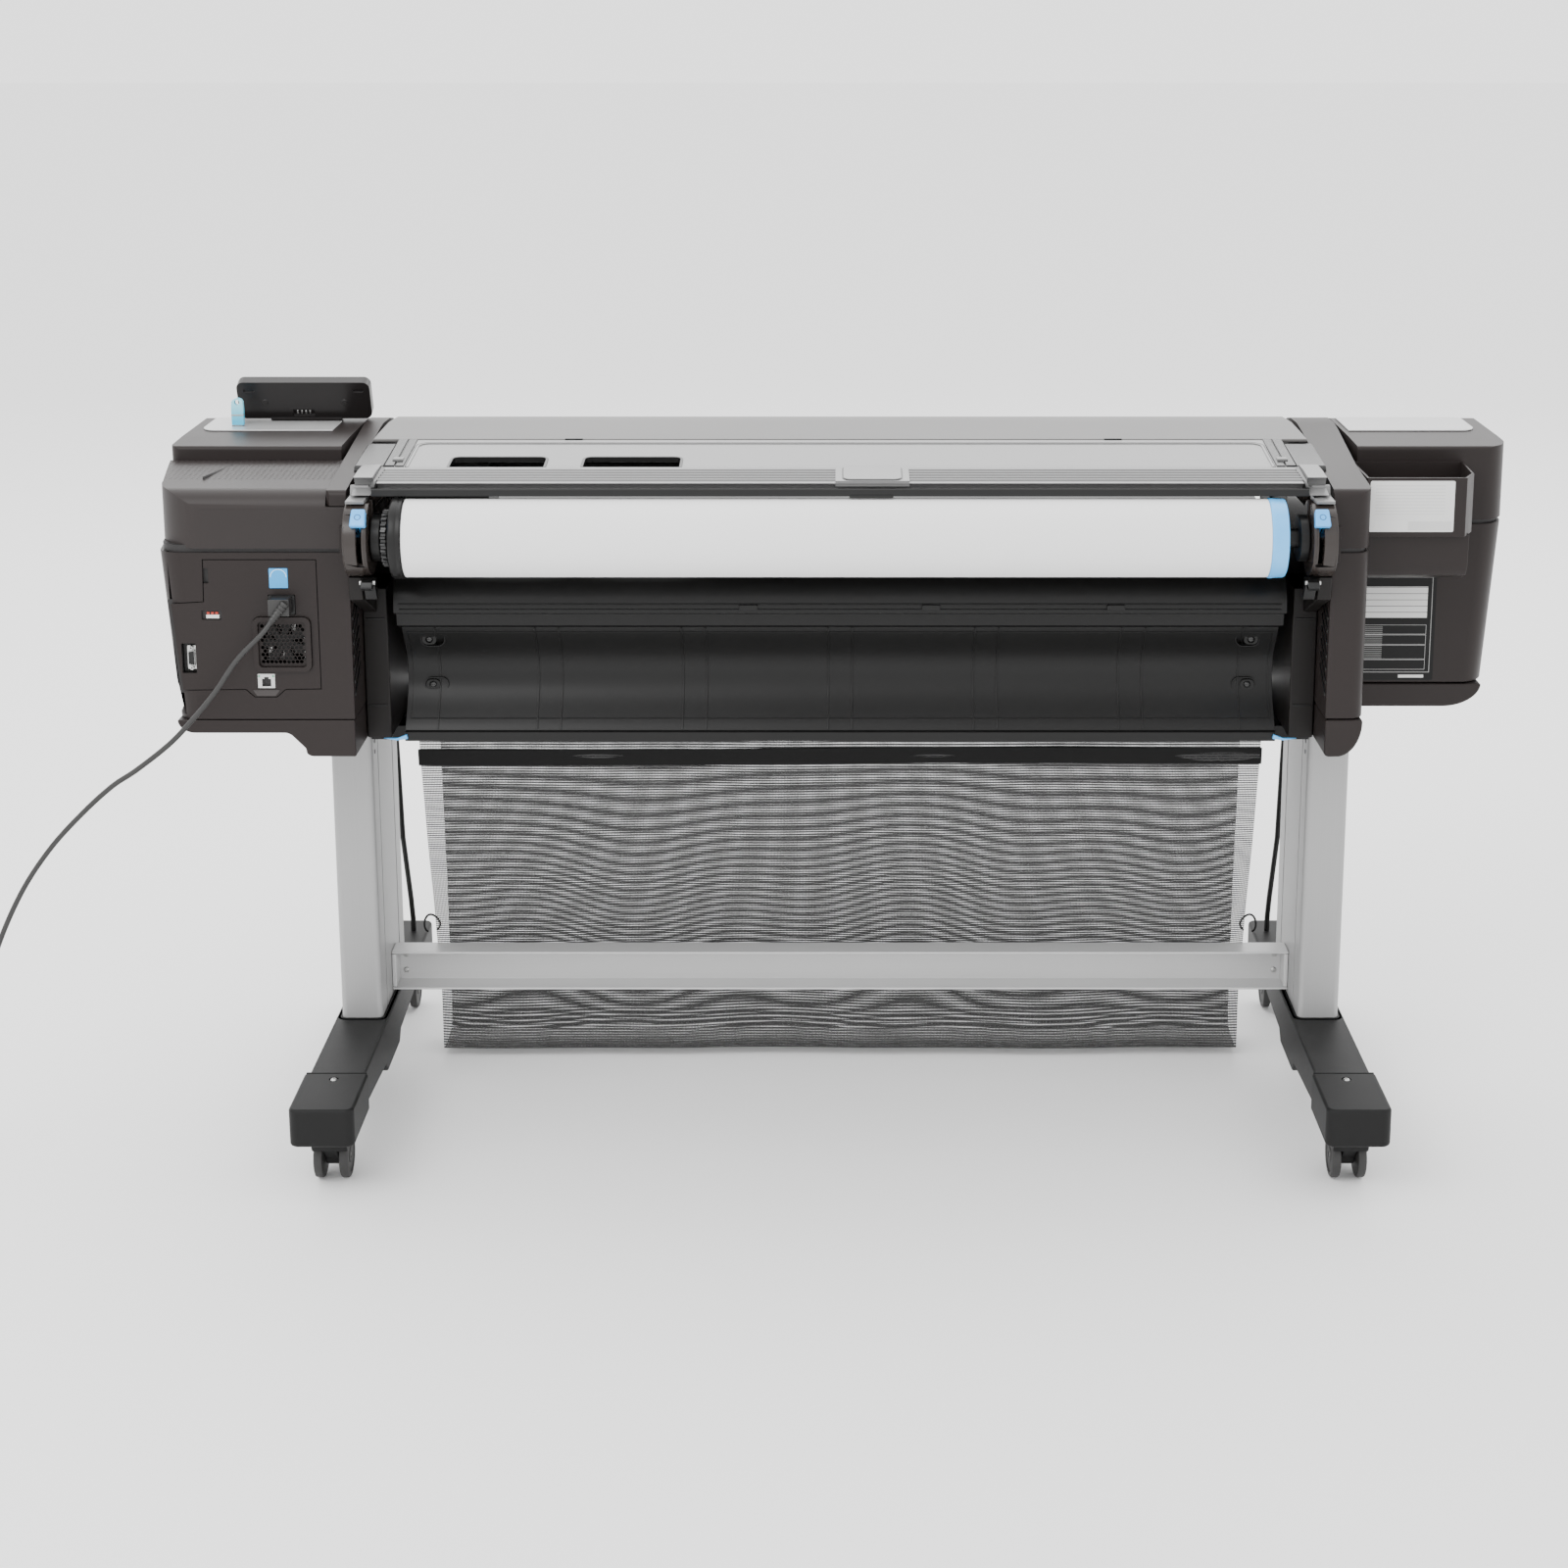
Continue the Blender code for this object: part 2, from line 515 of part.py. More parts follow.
def make_left_covers():
    shoulder_line = [(TOWER_REAR_Y, UPPER_SEAM_Z + 0.002), (TOWER_REAR_Y, 0.888)]
    shoulder_line += arc((-0.163, 0.886), (0.0265, 0.0240), 172, 97, 4)
    shoulder_line += [(-0.100, 0.9135), (BOX_REAR_Y - 0.001, 0.9160),
                      (BOX_REAR_Y - 0.001, UPPER_SEAM_Z + 0.002)]
    shoulder = slab("shoulder_cover", "side", shoulder_line, -0.95, -BAY_HALF - 0.0005, HOUSING)
    keep_inside(shoulder, slab("shoulder_plan", "plan", left_plan(0.034), 0.7, 1.0))
    soften(shoulder, 0.003)
    hollow_line = [(TOWER_REAR_Y + WALL, 0.80), (TOWER_REAR_Y + WALL, 0.886), (-0.163, 0.904),
                   (-0.100, 0.9095),
                   (BOX_REAR_Y - 0.005, 0.9115), (BOX_REAR_Y - 0.005, 0.80)]
    cut(shoulder, slab("shoulder_hollow", "side", hollow_line, -0.873, -BAY_HALF - 0.004))

    top_line = [(BOX_REAR_Y, UPPER_SEAM_Z + 0.002), (BOX_REAR_Y, 0.9310), (-0.0055, 0.9345), (0.060, TOP_Z),
                (0.205, TOP_Z), (0.250, 0.926), (0.280, 0.896), (BODY_FRONT_Y, 0.850),
                (BODY_FRONT_Y, UPPER_SEAM_Z + 0.002)]
    cover = slab("left_top_cover", "side", top_line, -HALF_WIDTH, -0.6705, HOUSING)
    plan = [(-0.6705, BOX_REAR_Y)] + arc((-HALF_WIDTH + 0.012, BOX_REAR_Y + 0.012), (0.012, 0.012), 270,
                                         180, 3)
    plan += arc((-HALF_WIDTH + 0.055, BODY_FRONT_Y - 0.055), (0.055, 0.055), 180, 90,
                4) + [(-0.6705, BODY_FRONT_Y)]
    keep_inside(cover, slab("left_top_plan", "plan", plan, 0.7, 1.0))
    soften(cover, 0.003)
    hollow_top = [(BOX_REAR_Y + WALL, 0.80), (BOX_REAR_Y + WALL, 0.929), (0.060, TOP_Z - WALL),
                  (0.203, TOP_Z - WALL),
                  (0.247, 0.922), (0.276, 0.893), (BODY_FRONT_Y - WALL, 0.848), (BODY_FRONT_Y - WALL, 0.80)]
    cut(cover, slab("left_top_hollow", "side", hollow_top, -HALF_WIDTH + 0.012, -0.6745))
    cut(cover, box("usb_port", (-0.8460, 0.1295, 0.92), (-0.8330, 0.1345, 0.95)))

    inlay = [(-0.702, 0.097)] + arc((-0.865, 0.1235), (0.0200, 0.0265), 270, 180, 4)
    inlay += arc((-0.865, 0.190), (0.0200, 0.010), 180, 90, 2) + [(-0.702, 0.200)]
    silver = slab("left_inlay", "plan", inlay, TOP_Z + GAP, TOP_Z + 0.0022, SILVER)
    cut(silver, box("usb_mouth", (-0.8480, 0.1275, 0.92), (-0.8310, 0.1365, 0.95)))
    cut(silver, box("panel_seat", (-0.8500, 0.170, 0.92), (-0.690, 0.21, 0.95)))

    bottom_line = [(-BAY_HALF - 0.0005, LOWER_SEAM_Z), (-0.8650, LOWER_SEAM_Z)]
    bottom_line += arc((-0.8450, LOWER_SEAM_Z), (0.0200, 0.0180), 180, 270, 4)[1:]
    bottom_line += [(-0.7280, 0.5870), (-0.7150, 0.5840), (-0.6980, 0.5650), (-0.6880, BOTTOM_Z),
                    (-BAY_HALF - 0.0005, BOTTOM_Z)]
    bottom = slab("left_bottom_cover", "rear", bottom_line, TOWER_REAR_Y, BODY_FRONT_Y - 0.005, HOUSING)
    soften(bottom, 0.005, 3)
    cut(bottom,
        box("left_bottom_hollow", (-0.8450, TOWER_REAR_Y + 0.006, 0.5925),
            (-0.6400, BODY_FRONT_Y - 0.012, 0.7)))

    arm_line = [(TOWER_REAR_Y, 0.8898), (TOWER_REAR_Y, 0.9045), (TOWER_REAR_Y + 0.005, 0.9095),
                (0.150, 0.9390),
                (0.205, 0.9360), (0.250, 0.926), (0.280, 0.896), (BODY_FRONT_Y, 0.850),
                (BODY_FRONT_Y, UPPER_SEAM_Z + 0.002), (BOX_REAR_Y + 0.001, UPPER_SEAM_Z + 0.002),
                (BOX_REAR_Y + 0.001, 0.8898)]
    arm = slab("left_arm_cover", "side", arm_line, -0.70, -0.60, HOUSING)
    arm_plan = [(-BAY_HALF, TOWER_REAR_Y), (-0.6595, TOWER_REAR_Y), (-0.6660, 0.120),
                (-0.6698, BODY_FRONT_Y),
                (-0.6400, BODY_FRONT_Y), (-0.6400, 0.120)]
    keep_inside(arm, slab("left_arm_plan", "plan", arm_plan, 0.7, 1.0))
    soften(arm, 0.003)
    seat = [(-BAY_HALF + 0.01, TOWER_REAR_Y - 0.01), (-0.6598, TOWER_REAR_Y - 0.01), (-0.6668, 0.130),
            (-BAY_HALF + 0.01, 0.13)]
    cut(shoulder, slab("arm_seat", "plan", seat, 0.8893, 1.0))


make_electronics_box()
make_left_covers()


# ---------------------------------------------------------------- right end: ink box
def right_plan(grow=0.0):
    """The right end's outline from above: the tower by the roll bay, and the ink box set back beside it."""
    rear, box_rear = TOWER_REAR_Y - grow, BOX_REAR_Y - grow
    side, tower = HALF_WIDTH + grow, RIGHT_TOWER_OUT + grow
    points = [(BAY_HALF - grow, rear)] + arc((tower - 0.018, rear + 0.018), (0.018, 0.018), 270, 360, 4)
    points += [(tower, box_rear)]
    points += arc((side - 0.028, box_rear + 0.040), (0.028, 0.040), 270, 360, 4)
    points += arc((side - 0.055, BODY_FRONT_Y - 0.055 + grow), (0.055, 0.055), 0, 90, 4)
    points += [(BAY_HALF - grow, BODY_FRONT_Y + grow)]
    return points


def make_ink_box():
    housing = slab("ink_housing", "plan", right_plan(), LOWER_SEAM_Z + 0.0008, UPPER_SEAM_Z - 0.002,
                   HOUSING)
    lean_side(housing, 0.80, UPPER_SEAM_Z)
    soften(housing, 0.0025)
    hollow = slab("ink_hollow", "plan", right_plan(-WALL), LOWER_SEAM_Z + 0.005, 0.9)
    lean_side(hollow, 0.80, UPPER_SEAM_Z)
    cut(housing, hollow)

    arm_line = [(TOWER_REAR_Y, UPPER_SEAM_Z + 0.002), (TOWER_REAR_Y, 0.9060),
                (TOWER_REAR_Y + 0.005, 0.9110),
                (0.150, 0.9390), (0.205, 0.9360), (0.250, 0.926), (0.280, 0.896), (BODY_FRONT_Y, 0.850),
                (BODY_FRONT_Y, UPPER_SEAM_Z + 0.002)]
    arm = slab("right_arm_cover", "side", arm_line, 0.60, 0.75, HOUSING)
    arm_plan = [(BAY_HALF, TOWER_REAR_Y)]
    arm_plan += arc((RIGHT_TOWER_OUT - 0.018, TOWER_REAR_Y + 0.018), (0.018, 0.018), 270, 360, 4)
    arm_plan += [(RIGHT_TOWER_OUT, BOX_REAR_Y - 0.06), (0.6920, 0.120), (0.6950, BODY_FRONT_Y),
                 (0.6400, BODY_FRONT_Y), (0.6400, 0.120)]
    keep_inside(arm, slab("right_arm_plan", "plan", arm_plan, 0.7, 1.0))
    soften(arm, 0.003)
    cut(arm,
        box("right_arm_hollow", (BAY_HALF + 0.010, TOWER_REAR_Y + 0.006, 0.80),
            (RIGHT_TOWER_OUT - 0.005, 0.270, 0.875)))

    top_line = [(BOX_REAR_Y, UPPER_SEAM_Z + 0.002), (BOX_REAR_Y, 0.9310), (-0.0055, 0.9345), (0.060, TOP_Z),
                (0.205, TOP_Z), (0.250, 0.926), (0.280, 0.896), (BODY_FRONT_Y, 0.850),
                (BODY_FRONT_Y, UPPER_SEAM_Z + 0.002)]
    cover = slab("right_top_cover", "side", top_line, 0.6958, HALF_WIDTH, HOUSING)
    plan = [(0.6958, BOX_REAR_Y)] + arc((HALF_WIDTH - 0.028, BOX_REAR_Y + 0.040), (0.028, 0.040), 270, 360,
                                        4)
    plan += arc((HALF_WIDTH - 0.055, BODY_FRONT_Y - 0.055), (0.055, 0.055), 0, 90,
                4) + [(0.6958, BODY_FRONT_Y)]
    keep_inside(cover, slab("right_top_plan", "plan", plan, 0.7, 1.0))
    soften(cover, 0.003)
    hollow_top = [(BOX_REAR_Y + WALL, 0.80), (BOX_REAR_Y + WALL, 0.929), (0.060, TOP_Z - WALL),
                  (0.203, TOP_Z - WALL),
                  (0.247, 0.922), (0.276, 0.893), (BODY_FRONT_Y - WALL, 0.848), (BODY_FRONT_Y - WALL, 0.80)]
    cut(cover, slab("right_top_hollow", "side", hollow_top, 0.6998, HALF_WIDTH - 0.020))

    inlay = [(0.703, 0.200), (0.703, 0.097)] + arc((0.860, 0.1235), (0.0200, 0.0265), 270, 360, 4)
    inlay += arc((0.860, 0.190), (0.0200, 0.010), 0, 90, 2)
    slab("right_inlay", "plan", inlay, TOP_Z + GAP, TOP_Z + 0.0022, SILVER)

    box_line = [(BAY_HALF, LOWER_SEAM_Z), (BAY_HALF, 0.5710)] + arc((0.830, 0.6050), (0.048, 0.0340), 270,
                                                                    360, 5)
    bottom = slab("right_bottom_cover", "rear", box_line, BOX_REAR_Y, BODY_FRONT_Y - 0.005, HOUSING)
    tower_line = [(BAY_HALF, LOWER_SEAM_Z), (BAY_HALF, 0.5730)] + arc((0.648, 0.6050), (0.0345, 0.0320),
                                                                      270, 360, 5)
    tower = slab("tower_bottom", "rear", tower_line, TOWER_REAR_Y, BOX_REAR_Y + 0.020)
    seat = box("post_seat", (0.6360, -0.0380, BOTTOM_Z), (0.7030, 0.1760, 0.5800))
    join(bottom, tower, seat)
    cut(bottom,
        box("right_bottom_hollow", (0.6400, BOX_REAR_Y + 0.006, 0.5785),
            (0.8300, BODY_FRONT_Y - 0.012, 0.7)))


def make_storage_pocket():
    """The open bin on the ink box's rear face, with a narrower foot under it."""
    low_x, rear, back = RIGHT_TOWER_OUT + 0.0045, -0.1250, BOX_REAR_Y - GAP
    plan = [(low_x, rear), (0.8180, rear), (0.8340, -0.0930), (0.8385, back), (low_x, back)]
    pocket = slab("storage_pocket", "plan", plan, 0.8350, 0.9140, HOUSING)
    foot = [(rear + 0.012, 0.8370), (back, 0.8370), (back, 0.7700), (rear + 0.030, 0.7740),
            (rear + 0.014, 0.7900)]
    join(pocket, slab("pocket_foot", "side", foot, low_x, 0.8270))
    inner = [(low_x + 0.003, rear + 0.003), (0.8165, rear + 0.003), (0.8310, -0.0940),
             (0.8352, back - 0.003),
             (low_x + 0.003, back - 0.003)]
    cut(pocket, slab("pocket_inside", "plan", inner, 0.8385, 1.0))


make_ink_box()
make_storage_pocket()


# ---------------------------------------------------------------- middle: covers and print beam
def make_middle_covers():
    rib_top = [(-0.1180, 0.9262)]
    for rib in range(5):
        y = -0.1260 - rib * 0.0118
        fall = (y + 0.110) * 0.085
        rib_top += [(y, 0.9262 + fall), (y - 0.0015, 0.9282 + fall), (y - 0.0045, 0.9282 + fall),
                    (y - 0.0060, 0.9262 + fall)]
    roll_line = [(-0.1100, 0.9150), (-0.1100, 0.9255)] + rib_top
    roll_line += [(-0.1880, 0.9195), (-0.1980, 0.9180), (-0.2020, 0.9140), (-0.2020, 0.9060),
                  (-0.1985, 0.9055),
                  (-0.1960, 0.9105)]
    lid = slab("roll_cover", "side", roll_line, -0.600, 0.600, WINDOW_GREY)
    origin_to(lid, (0.0, -0.1160, 0.9210))

    window_line = [(-0.1065, 0.9170), (-0.1065, 0.9245), (0.0225, 0.9375), (0.0225, 0.9300)]
    window = slab("window_cover", "side", window_line, -0.598, 0.598, WINDOW_GREY)
    origin_to(window, (0.0, -0.0980, 0.9200))
    for low_x, high_x in ((-0.515, -0.386), (-0.340, -0.208)):
        slot = rounded((low_x, -0.104), (high_x, -0.058), 0.010, 2)
        cut(window, slab("window_slot", "plan", slot, 0.90, 0.95))

    front_line = [(0.0245, 0.9380), (0.1500, 0.9395), (0.2050, 0.9360), (0.2500, 0.9255), (0.2800, 0.8960),
                  (BODY_FRONT_Y, 0.8500), (BODY_FRONT_Y - WALL, 0.8500), (0.2765, 0.8935), (0.2480, 0.9215),
                  (0.2050, 0.9318), (0.1500, 0.9355), (0.0245, 0.9340)]
    slab("front_top_cover", "side", front_line, -BAY_HALF, BAY_HALF, HOUSING)

    lower_line = [(0.3000, 0.8000), (0.3040, 0.7900), (0.3000, 0.6500), (0.2880, 0.6000), (0.2500, 0.5640),
                  (0.2100, 0.5560), (0.2100, 0.5600), (0.2480, 0.5680), (0.2845, 0.6015), (0.2960, 0.6505),
                  (0.3000, 0.7890), (0.2960, 0.7960), (0.2600, 0.7960), (0.2600, 0.8000)]
    slab("front_lower_cover", "side", lower_line, -BAY_HALF + 0.0005, BAY_HALF - 0.0005, HOUSING)


def make_print_beam():
    """The platen that the paper crosses, the rail above it, and the carriage that runs along the rail."""
    half = FRAME_IN - 0.0005
    beam = box("print_beam", (-half, -0.085, 0.8010), (half, 0.2560, 0.8150), BAY_BLACK)
    rail = box("carriage_rail", (-half, 0.090, 0.8600), (half, 0.120, 0.8900))
    ends = [box("rail_end", (x - 0.0018, 0.085, 0.8100),
                (x + 0.0018, 0.160, 0.8900)) for x in (-half + 0.0019, half - 0.0019)]
    join(beam, rail, *ends)
    carriage = box("print_carriage", (-0.5930, -0.0200, 0.8200), (-0.4730, 0.0895, 0.9050), BAY_BLACK)
    soften(carriage, 0.004, 2)
    origin_to(carriage, (-0.5330, 0.0350, 0.8600))


make_middle_covers()
make_print_beam()


# ---------------------------------------------------------------- roll bay
def make_side_frame(name, side):
    outline = [(-0.1100, 0.5570), (0.2000, 0.5570), (0.2000, 0.9000), (-0.0300, 0.9000), (-0.0300, 0.7630),
               (-0.1100, 0.7630)]
    low, high = sorted((side * FRAME_IN, side * FRAME_OUT))
    slab(name, "side", outline, low, high, BAY_BLACK)


def make_bay_panels():
    guide = [(-0.0600, 0.7880)] + arc((-0.0980, 0.7440), (0.0500, 0.0460), 80, 180, 6)
    guide += [(-0.1480, 0.7380), (-0.1300, 0.7350), (-0.1240, 0.7150), (-0.1180, 0.7150), (-0.1240, 0.7390),
              (-0.1420, 0.7430)]
    guide += arc((-0.0980, 0.7440), (0.0440, 0.0400), 172, 80, 6) + [(-0.0600, 0.7820)]
    slab("roll_guide", "side", guide, -0.585, 0.585, BAY_BLACK)

    depth, thick = 0.040, 0.003
    hollow = [(-0.1180 + depth * math.sin(math.pi * i / 10) ** 1.2,
               0.7120 - 0.1420 * i / 10) for i in range(11)]
    panel = hollow + [(-0.1230, 0.5680), (-0.1230, 0.5560), (-0.1230 + thick, 0.5560),
                      (-0.1230 + thick, 0.5650)]
    panel += [(y + thick, z) for y, z in reversed(hollow)]
    slab("roll_bay_panel", "side", panel, -0.580, 0.580, BAY_BLACK)


def sector(inner, outer, start, end, steps):
    middle = (ROLL_Y, ROLL_Z)
    return arc(middle, (outer, outer), start, end, steps) + arc(middle, (inner, inner), end, start, steps)


def make_spindle_holder(side_name, side):
    outline = [(-0.0320, 0.8150), (-0.0320, 0.8850)]
    outline += arc((ROLL_Y, ROLL_Z), (HOLDER_RADIUS, HOLDER_RADIUS), 46, 314, 16)
    low, high = sorted((side * 0.5992, side * 0.6300))
    holder = slab(side_name + "_spindle_holder", "side", outline, low, high, HOUSING)
    across = (0.5, 0.7) if side > 0 else (-0.7, -0.5)
    notch = arc((ROLL_Y, ROLL_Z), (0.0098, 0.0098), 180, 360, 8) + [(ROLL_Y + 0.0098, 0.95),
                                                                    (ROLL_Y - 0.0098, 0.95)]
    cut(holder, slab("notch", "side", notch, *across))
    blade = sorted((side * (BLADE_X - 0.0033), side * (BLADE_X + 0.0033)))
    disc = arc((ROLL_Y, ROLL_Z), (0.0430, 0.0430), 0, 345, 23)
    cut(holder, slab("blade_room", "side", disc, *blade))
    cut(holder, slab("blade_slot", "side", sector(0.030, 0.060, 132, 216, 9), *blade))

    swing = sorted((side * (BLADE_X - 0.0025), side * (BLADE_X + 0.0025)))
    middle = (ROLL_Y, ROLL_Z)
    hook = arc(middle, (0.0160, 0.0160), 72, 136, 5) + arc(middle, (0.0530, 0.0530), 137, 146, 2)
    hook += arc(middle, (0.0160, 0.0160), 147, 165, 2) + arc(middle, (0.0108, 0.0108), 165, 72, 6)
    lever = slab(side_name + "_latch_lever", "side", hook, *swing, BLUE)
    origin_to(lever, (side * BLADE_X, ROLL_Y, ROLL_Z))
    tab_line = sector(HOLDER_RADIUS + 0.0006, 0.0600, 131, 153, 4)
    tab = slab("lever_tab", "side", tab_line,
               *sorted((side * (BLADE_X - 0.0105), side * (BLADE_X + 0.0105))))
    join(lever, tab)


def make_roll():
    journal = 0.0080
    centre = (0.0, ROLL_Y, ROLL_Z)
    end, hub, flange_out, flange_in = 0.6290, 0.5975, 0.5735, 0.5570
    profile = [(-end, 0.0), (-end, journal), (-hub, journal), (-hub, 0.0300), (-hub + 0.0120, 0.0300),
               (-hub + 0.0120, 0.0200), (-flange_out, 0.0200), (-flange_out, 0.0510),
               (-flange_out + 0.004, 0.0525),
               (-flange_in, 0.0525), (-flange_in, 0.0255), (-0.5300, 0.0255), (-0.5300, 0.0125),
               (hub - 0.0120, 0.0125), (hub - 0.0120, 0.0300), (hub, 0.0300), (hub, journal),
               (end, journal), (end, 0.0)]
    turned("spindle", profile, centre, "X", BAY_BLACK, 28)
    start = -flange_in + GAP
    stop = start + ROLL_LENGTH
    profile = [(start, 0.0262), (start, ROLL_RADIUS), (stop, ROLL_RADIUS), (stop, 0.0262)]
    turned("paper_roll", profile, centre, "X", PAPER, 40, hollow=True)
    front = stop + GAP
    profile = [(front - 0.0300, 0.0135), (front - 0.0300, 0.0255), (front, 0.0255), (front, 0.0515),
               (front + 0.0200, 0.0505), (front + 0.0220, 0.0490), (front + 0.0220, 0.0135)]
    turned("blue_flange", profile, centre, "X", BLUE, 36, hollow=True)


for side_name, side in (("left", -1), ("right", 1)):
    make_side_frame(side_name + "_side_frame", side)
    make_spindle_holder(side_name, side)
make_bay_panels()
make_roll()


# ---------------------------------------------------------------- control panel and memory stick
def make_control_panel():
    foot = Vector((0.1830, 0.9410))
    up = Vector((-0.0215, 0.0555)).normalized()
    back = Vector((-up.y, up.x))
    tall, thick = 0.0565, 0.0170
    corners = [foot - up * 0.002, foot + up * tall, foot + up * tall - back * thick,
               foot - up * 0.002 - back * thick]
    outline = [(point.x, point.y) for point in corners]
    top = max(z for _, z in outline)
    outline = [(y, z + HEIGHT + 0.00183 - top) for y, z in outline]
    panel = slab("control_panel", "side", outline, -0.8480, -0.6610, BAY_BLACK)
    soften(panel, 0.006, 3)
    origin_to(panel, (-0.7545, 0.1830, 0.9450))


def make_usb_stick():
    x = -0.8395
    stick = slab("usb_stick", "rear", rounded((x - 0.0083, 0.9395), (x + 0.0083, 0.9690), 0.003, 2), 0.1280,
                 0.1360, BLUE)
    plug = box("usb_tongue", (x - 0.0058, 0.1300, 0.9330), (x + 0.0058, 0.1340, 0.9400))
    eye = rod("usb_eye", (x, 0.1320, 0.9700), 0.0070, 0.0050, "Y", steps=16)
    join(stick, plug, eye)
    cut(stick, rod("usb_eye_hole", (x, 0.1320, 0.9712), 0.0038, 0.02, "Y", steps=12))
    origin_to(stick, (x, 0.1320, 0.9390))


make_control_panel()
make_usb_stick()


# ---------------------------------------------------------------- mains cord
def smooth_route(points, spacing):
    """Points at an even spacing on one smooth curve through the given points."""
    ends = [2 * Vector(points[0]) - Vector(points[1])] + [Vector(p) for p in points]
    ends.append(2 * Vector(points[-1]) - Vector(points[-2]))
    fine = []
    for i in range(1, len(ends) - 2):
        a, b, c, d = ends[i - 1:i + 3]
        for step in range(12):
            t = step / 12
            fine.append(0.5 * (2 * b + (c - a) * t + (2 * a - 5 * b + 4 * c - d) * t * t
                               + (3 * b - a - 3 * c + d) * t ** 3))
    fine.append(ends[-2])
    even, left = [fine[0]], spacing
    for start, end in zip(fine, fine[1:]):
        length = (end - start).length
        while length >= left:
            start = start + (end - start) * (left / length)
            even.append(start)
            length = (end - start).length
            left = spacing
        left -= length
    if (even[-1] - fine[-1]).length > spacing / 2:
        even.append(fine[-1])
    else:
        even[-1] = fine[-1]
    return even


def make_cord():
    body_low, body_high = (-0.7352, -0.2120, 0.7495), (-0.7080, TOWER_REAR_Y - 0.0015, 0.7715)
    plug = box("inlet_plug", body_low, body_high, RUBBER)
    soften(plug, 0.004, 2)
    join(plug, box("plug_nose", (-0.7335, -0.1950, 0.7520), (-0.7098, -0.1705, 0.7675)))
    first, second = Vector(CORD_ROUTE[0]), Vector(CORD_ROUTE[1])
    heading = (second - first).normalized()
    mesh = bpy.data.meshes.new("plug_relief")
    shape = bmesh.new()
    bmesh.ops.create_cone(shape, cap_ends=True, segments=12, radius1=0.0062, radius2=0.0042, depth=0.026)
    shape.transform(Matrix.Translation(first - heading * (0.013 + GAP)) @ heading.to_track_quat("Z",
                                                                                                "X").to_matrix().to_4x4())
    shape.to_mesh(mesh)
    shape.free()
    join(plug, add("plug_relief", mesh))

    wire("power_cord", [tuple(p) for p in smooth_route(CORD_ROUTE, 0.0175)], CORD_RADIUS, RUBBER)

    x, y = COIL_CENTRE
    inner, outer = COIL_RADIUS - COIL_HALF_WIDTH, COIL_RADIUS + COIL_HALF_WIDTH
    profile = [(0.0010, inner), (0.0003, inner + 0.002), (0.0003, outer - 0.002), (0.0010, outer),
               (COIL_HEIGHT - 0.001, outer), (COIL_HEIGHT, outer - 0.002), (COIL_HEIGHT, inner + 0.002),
               (COIL_HEIGHT - 0.001, inner)]
    turned("cord_coil", profile, (x, y, 0.0), "Z", RUBBER, 28, hollow=True)

    plug_y = y - COIL_RADIUS - COIL_HALF_WIDTH - 0.0200
    mains = box("mains_plug", (x + 0.0280, plug_y - 0.0150, 0.0004), (x + 0.0700, plug_y + 0.0150, 0.0260),
                RUBBER)
    soften(mains, 0.005, 2)
    join(mains, rod("mains_relief", (x + 0.0150, plug_y, 0.0120), 0.0050, 0.030, "X", steps=12))
    for pin_y in (plug_y - 0.0080, plug_y + 0.0080):
        join(mains, rod("mains_pin", (x + 0.0800, pin_y, 0.0120), 0.0022, 0.024, "X", steps=10))


make_cord()


# ---------------------------------------------------------------- round pieces shade smooth
for part in PARTS.objects:
    if part.type == "MESH":
        part.data.shade_smooth()
        part.data.set_sharp_from_angle(angle=math.radians(35))
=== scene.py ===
import math

import bmesh
import bpy
from mathutils import Matrix, Vector


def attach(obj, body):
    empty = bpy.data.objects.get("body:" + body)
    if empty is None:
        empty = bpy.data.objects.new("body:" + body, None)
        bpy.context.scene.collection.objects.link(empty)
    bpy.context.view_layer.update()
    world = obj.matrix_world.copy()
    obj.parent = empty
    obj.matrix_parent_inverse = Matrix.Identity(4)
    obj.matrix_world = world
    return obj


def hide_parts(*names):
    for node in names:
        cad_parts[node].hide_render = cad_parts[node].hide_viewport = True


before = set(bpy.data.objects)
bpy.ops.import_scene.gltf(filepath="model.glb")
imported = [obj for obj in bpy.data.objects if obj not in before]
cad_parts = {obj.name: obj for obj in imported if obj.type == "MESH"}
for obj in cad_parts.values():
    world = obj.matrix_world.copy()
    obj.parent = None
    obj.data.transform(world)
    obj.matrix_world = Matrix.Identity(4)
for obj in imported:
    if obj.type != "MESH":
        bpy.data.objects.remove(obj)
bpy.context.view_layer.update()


# ------------------------------------------------------------------ camera
# It stands in front of the roll side, a little over half a metre above the machine's top, and looks down.
CAMERA_PLACE = (0.0, -3.5415, 1.583)
CAMERA_PITCH = 12.6
camera_data = bpy.data.cameras.new("camera")
camera_data.lens = 61.3
camera_data.sensor_width = 36.0
camera_data.shift_x = -0.0358
camera_data.shift_y = -0.150
camera = bpy.data.objects.new("camera", camera_data)
camera.location = CAMERA_PLACE
camera.rotation_euler = (math.radians(90 - CAMERA_PITCH), 0.0, 0.0)
bpy.context.scene.collection.objects.link(camera)
bpy.context.scene.camera = camera


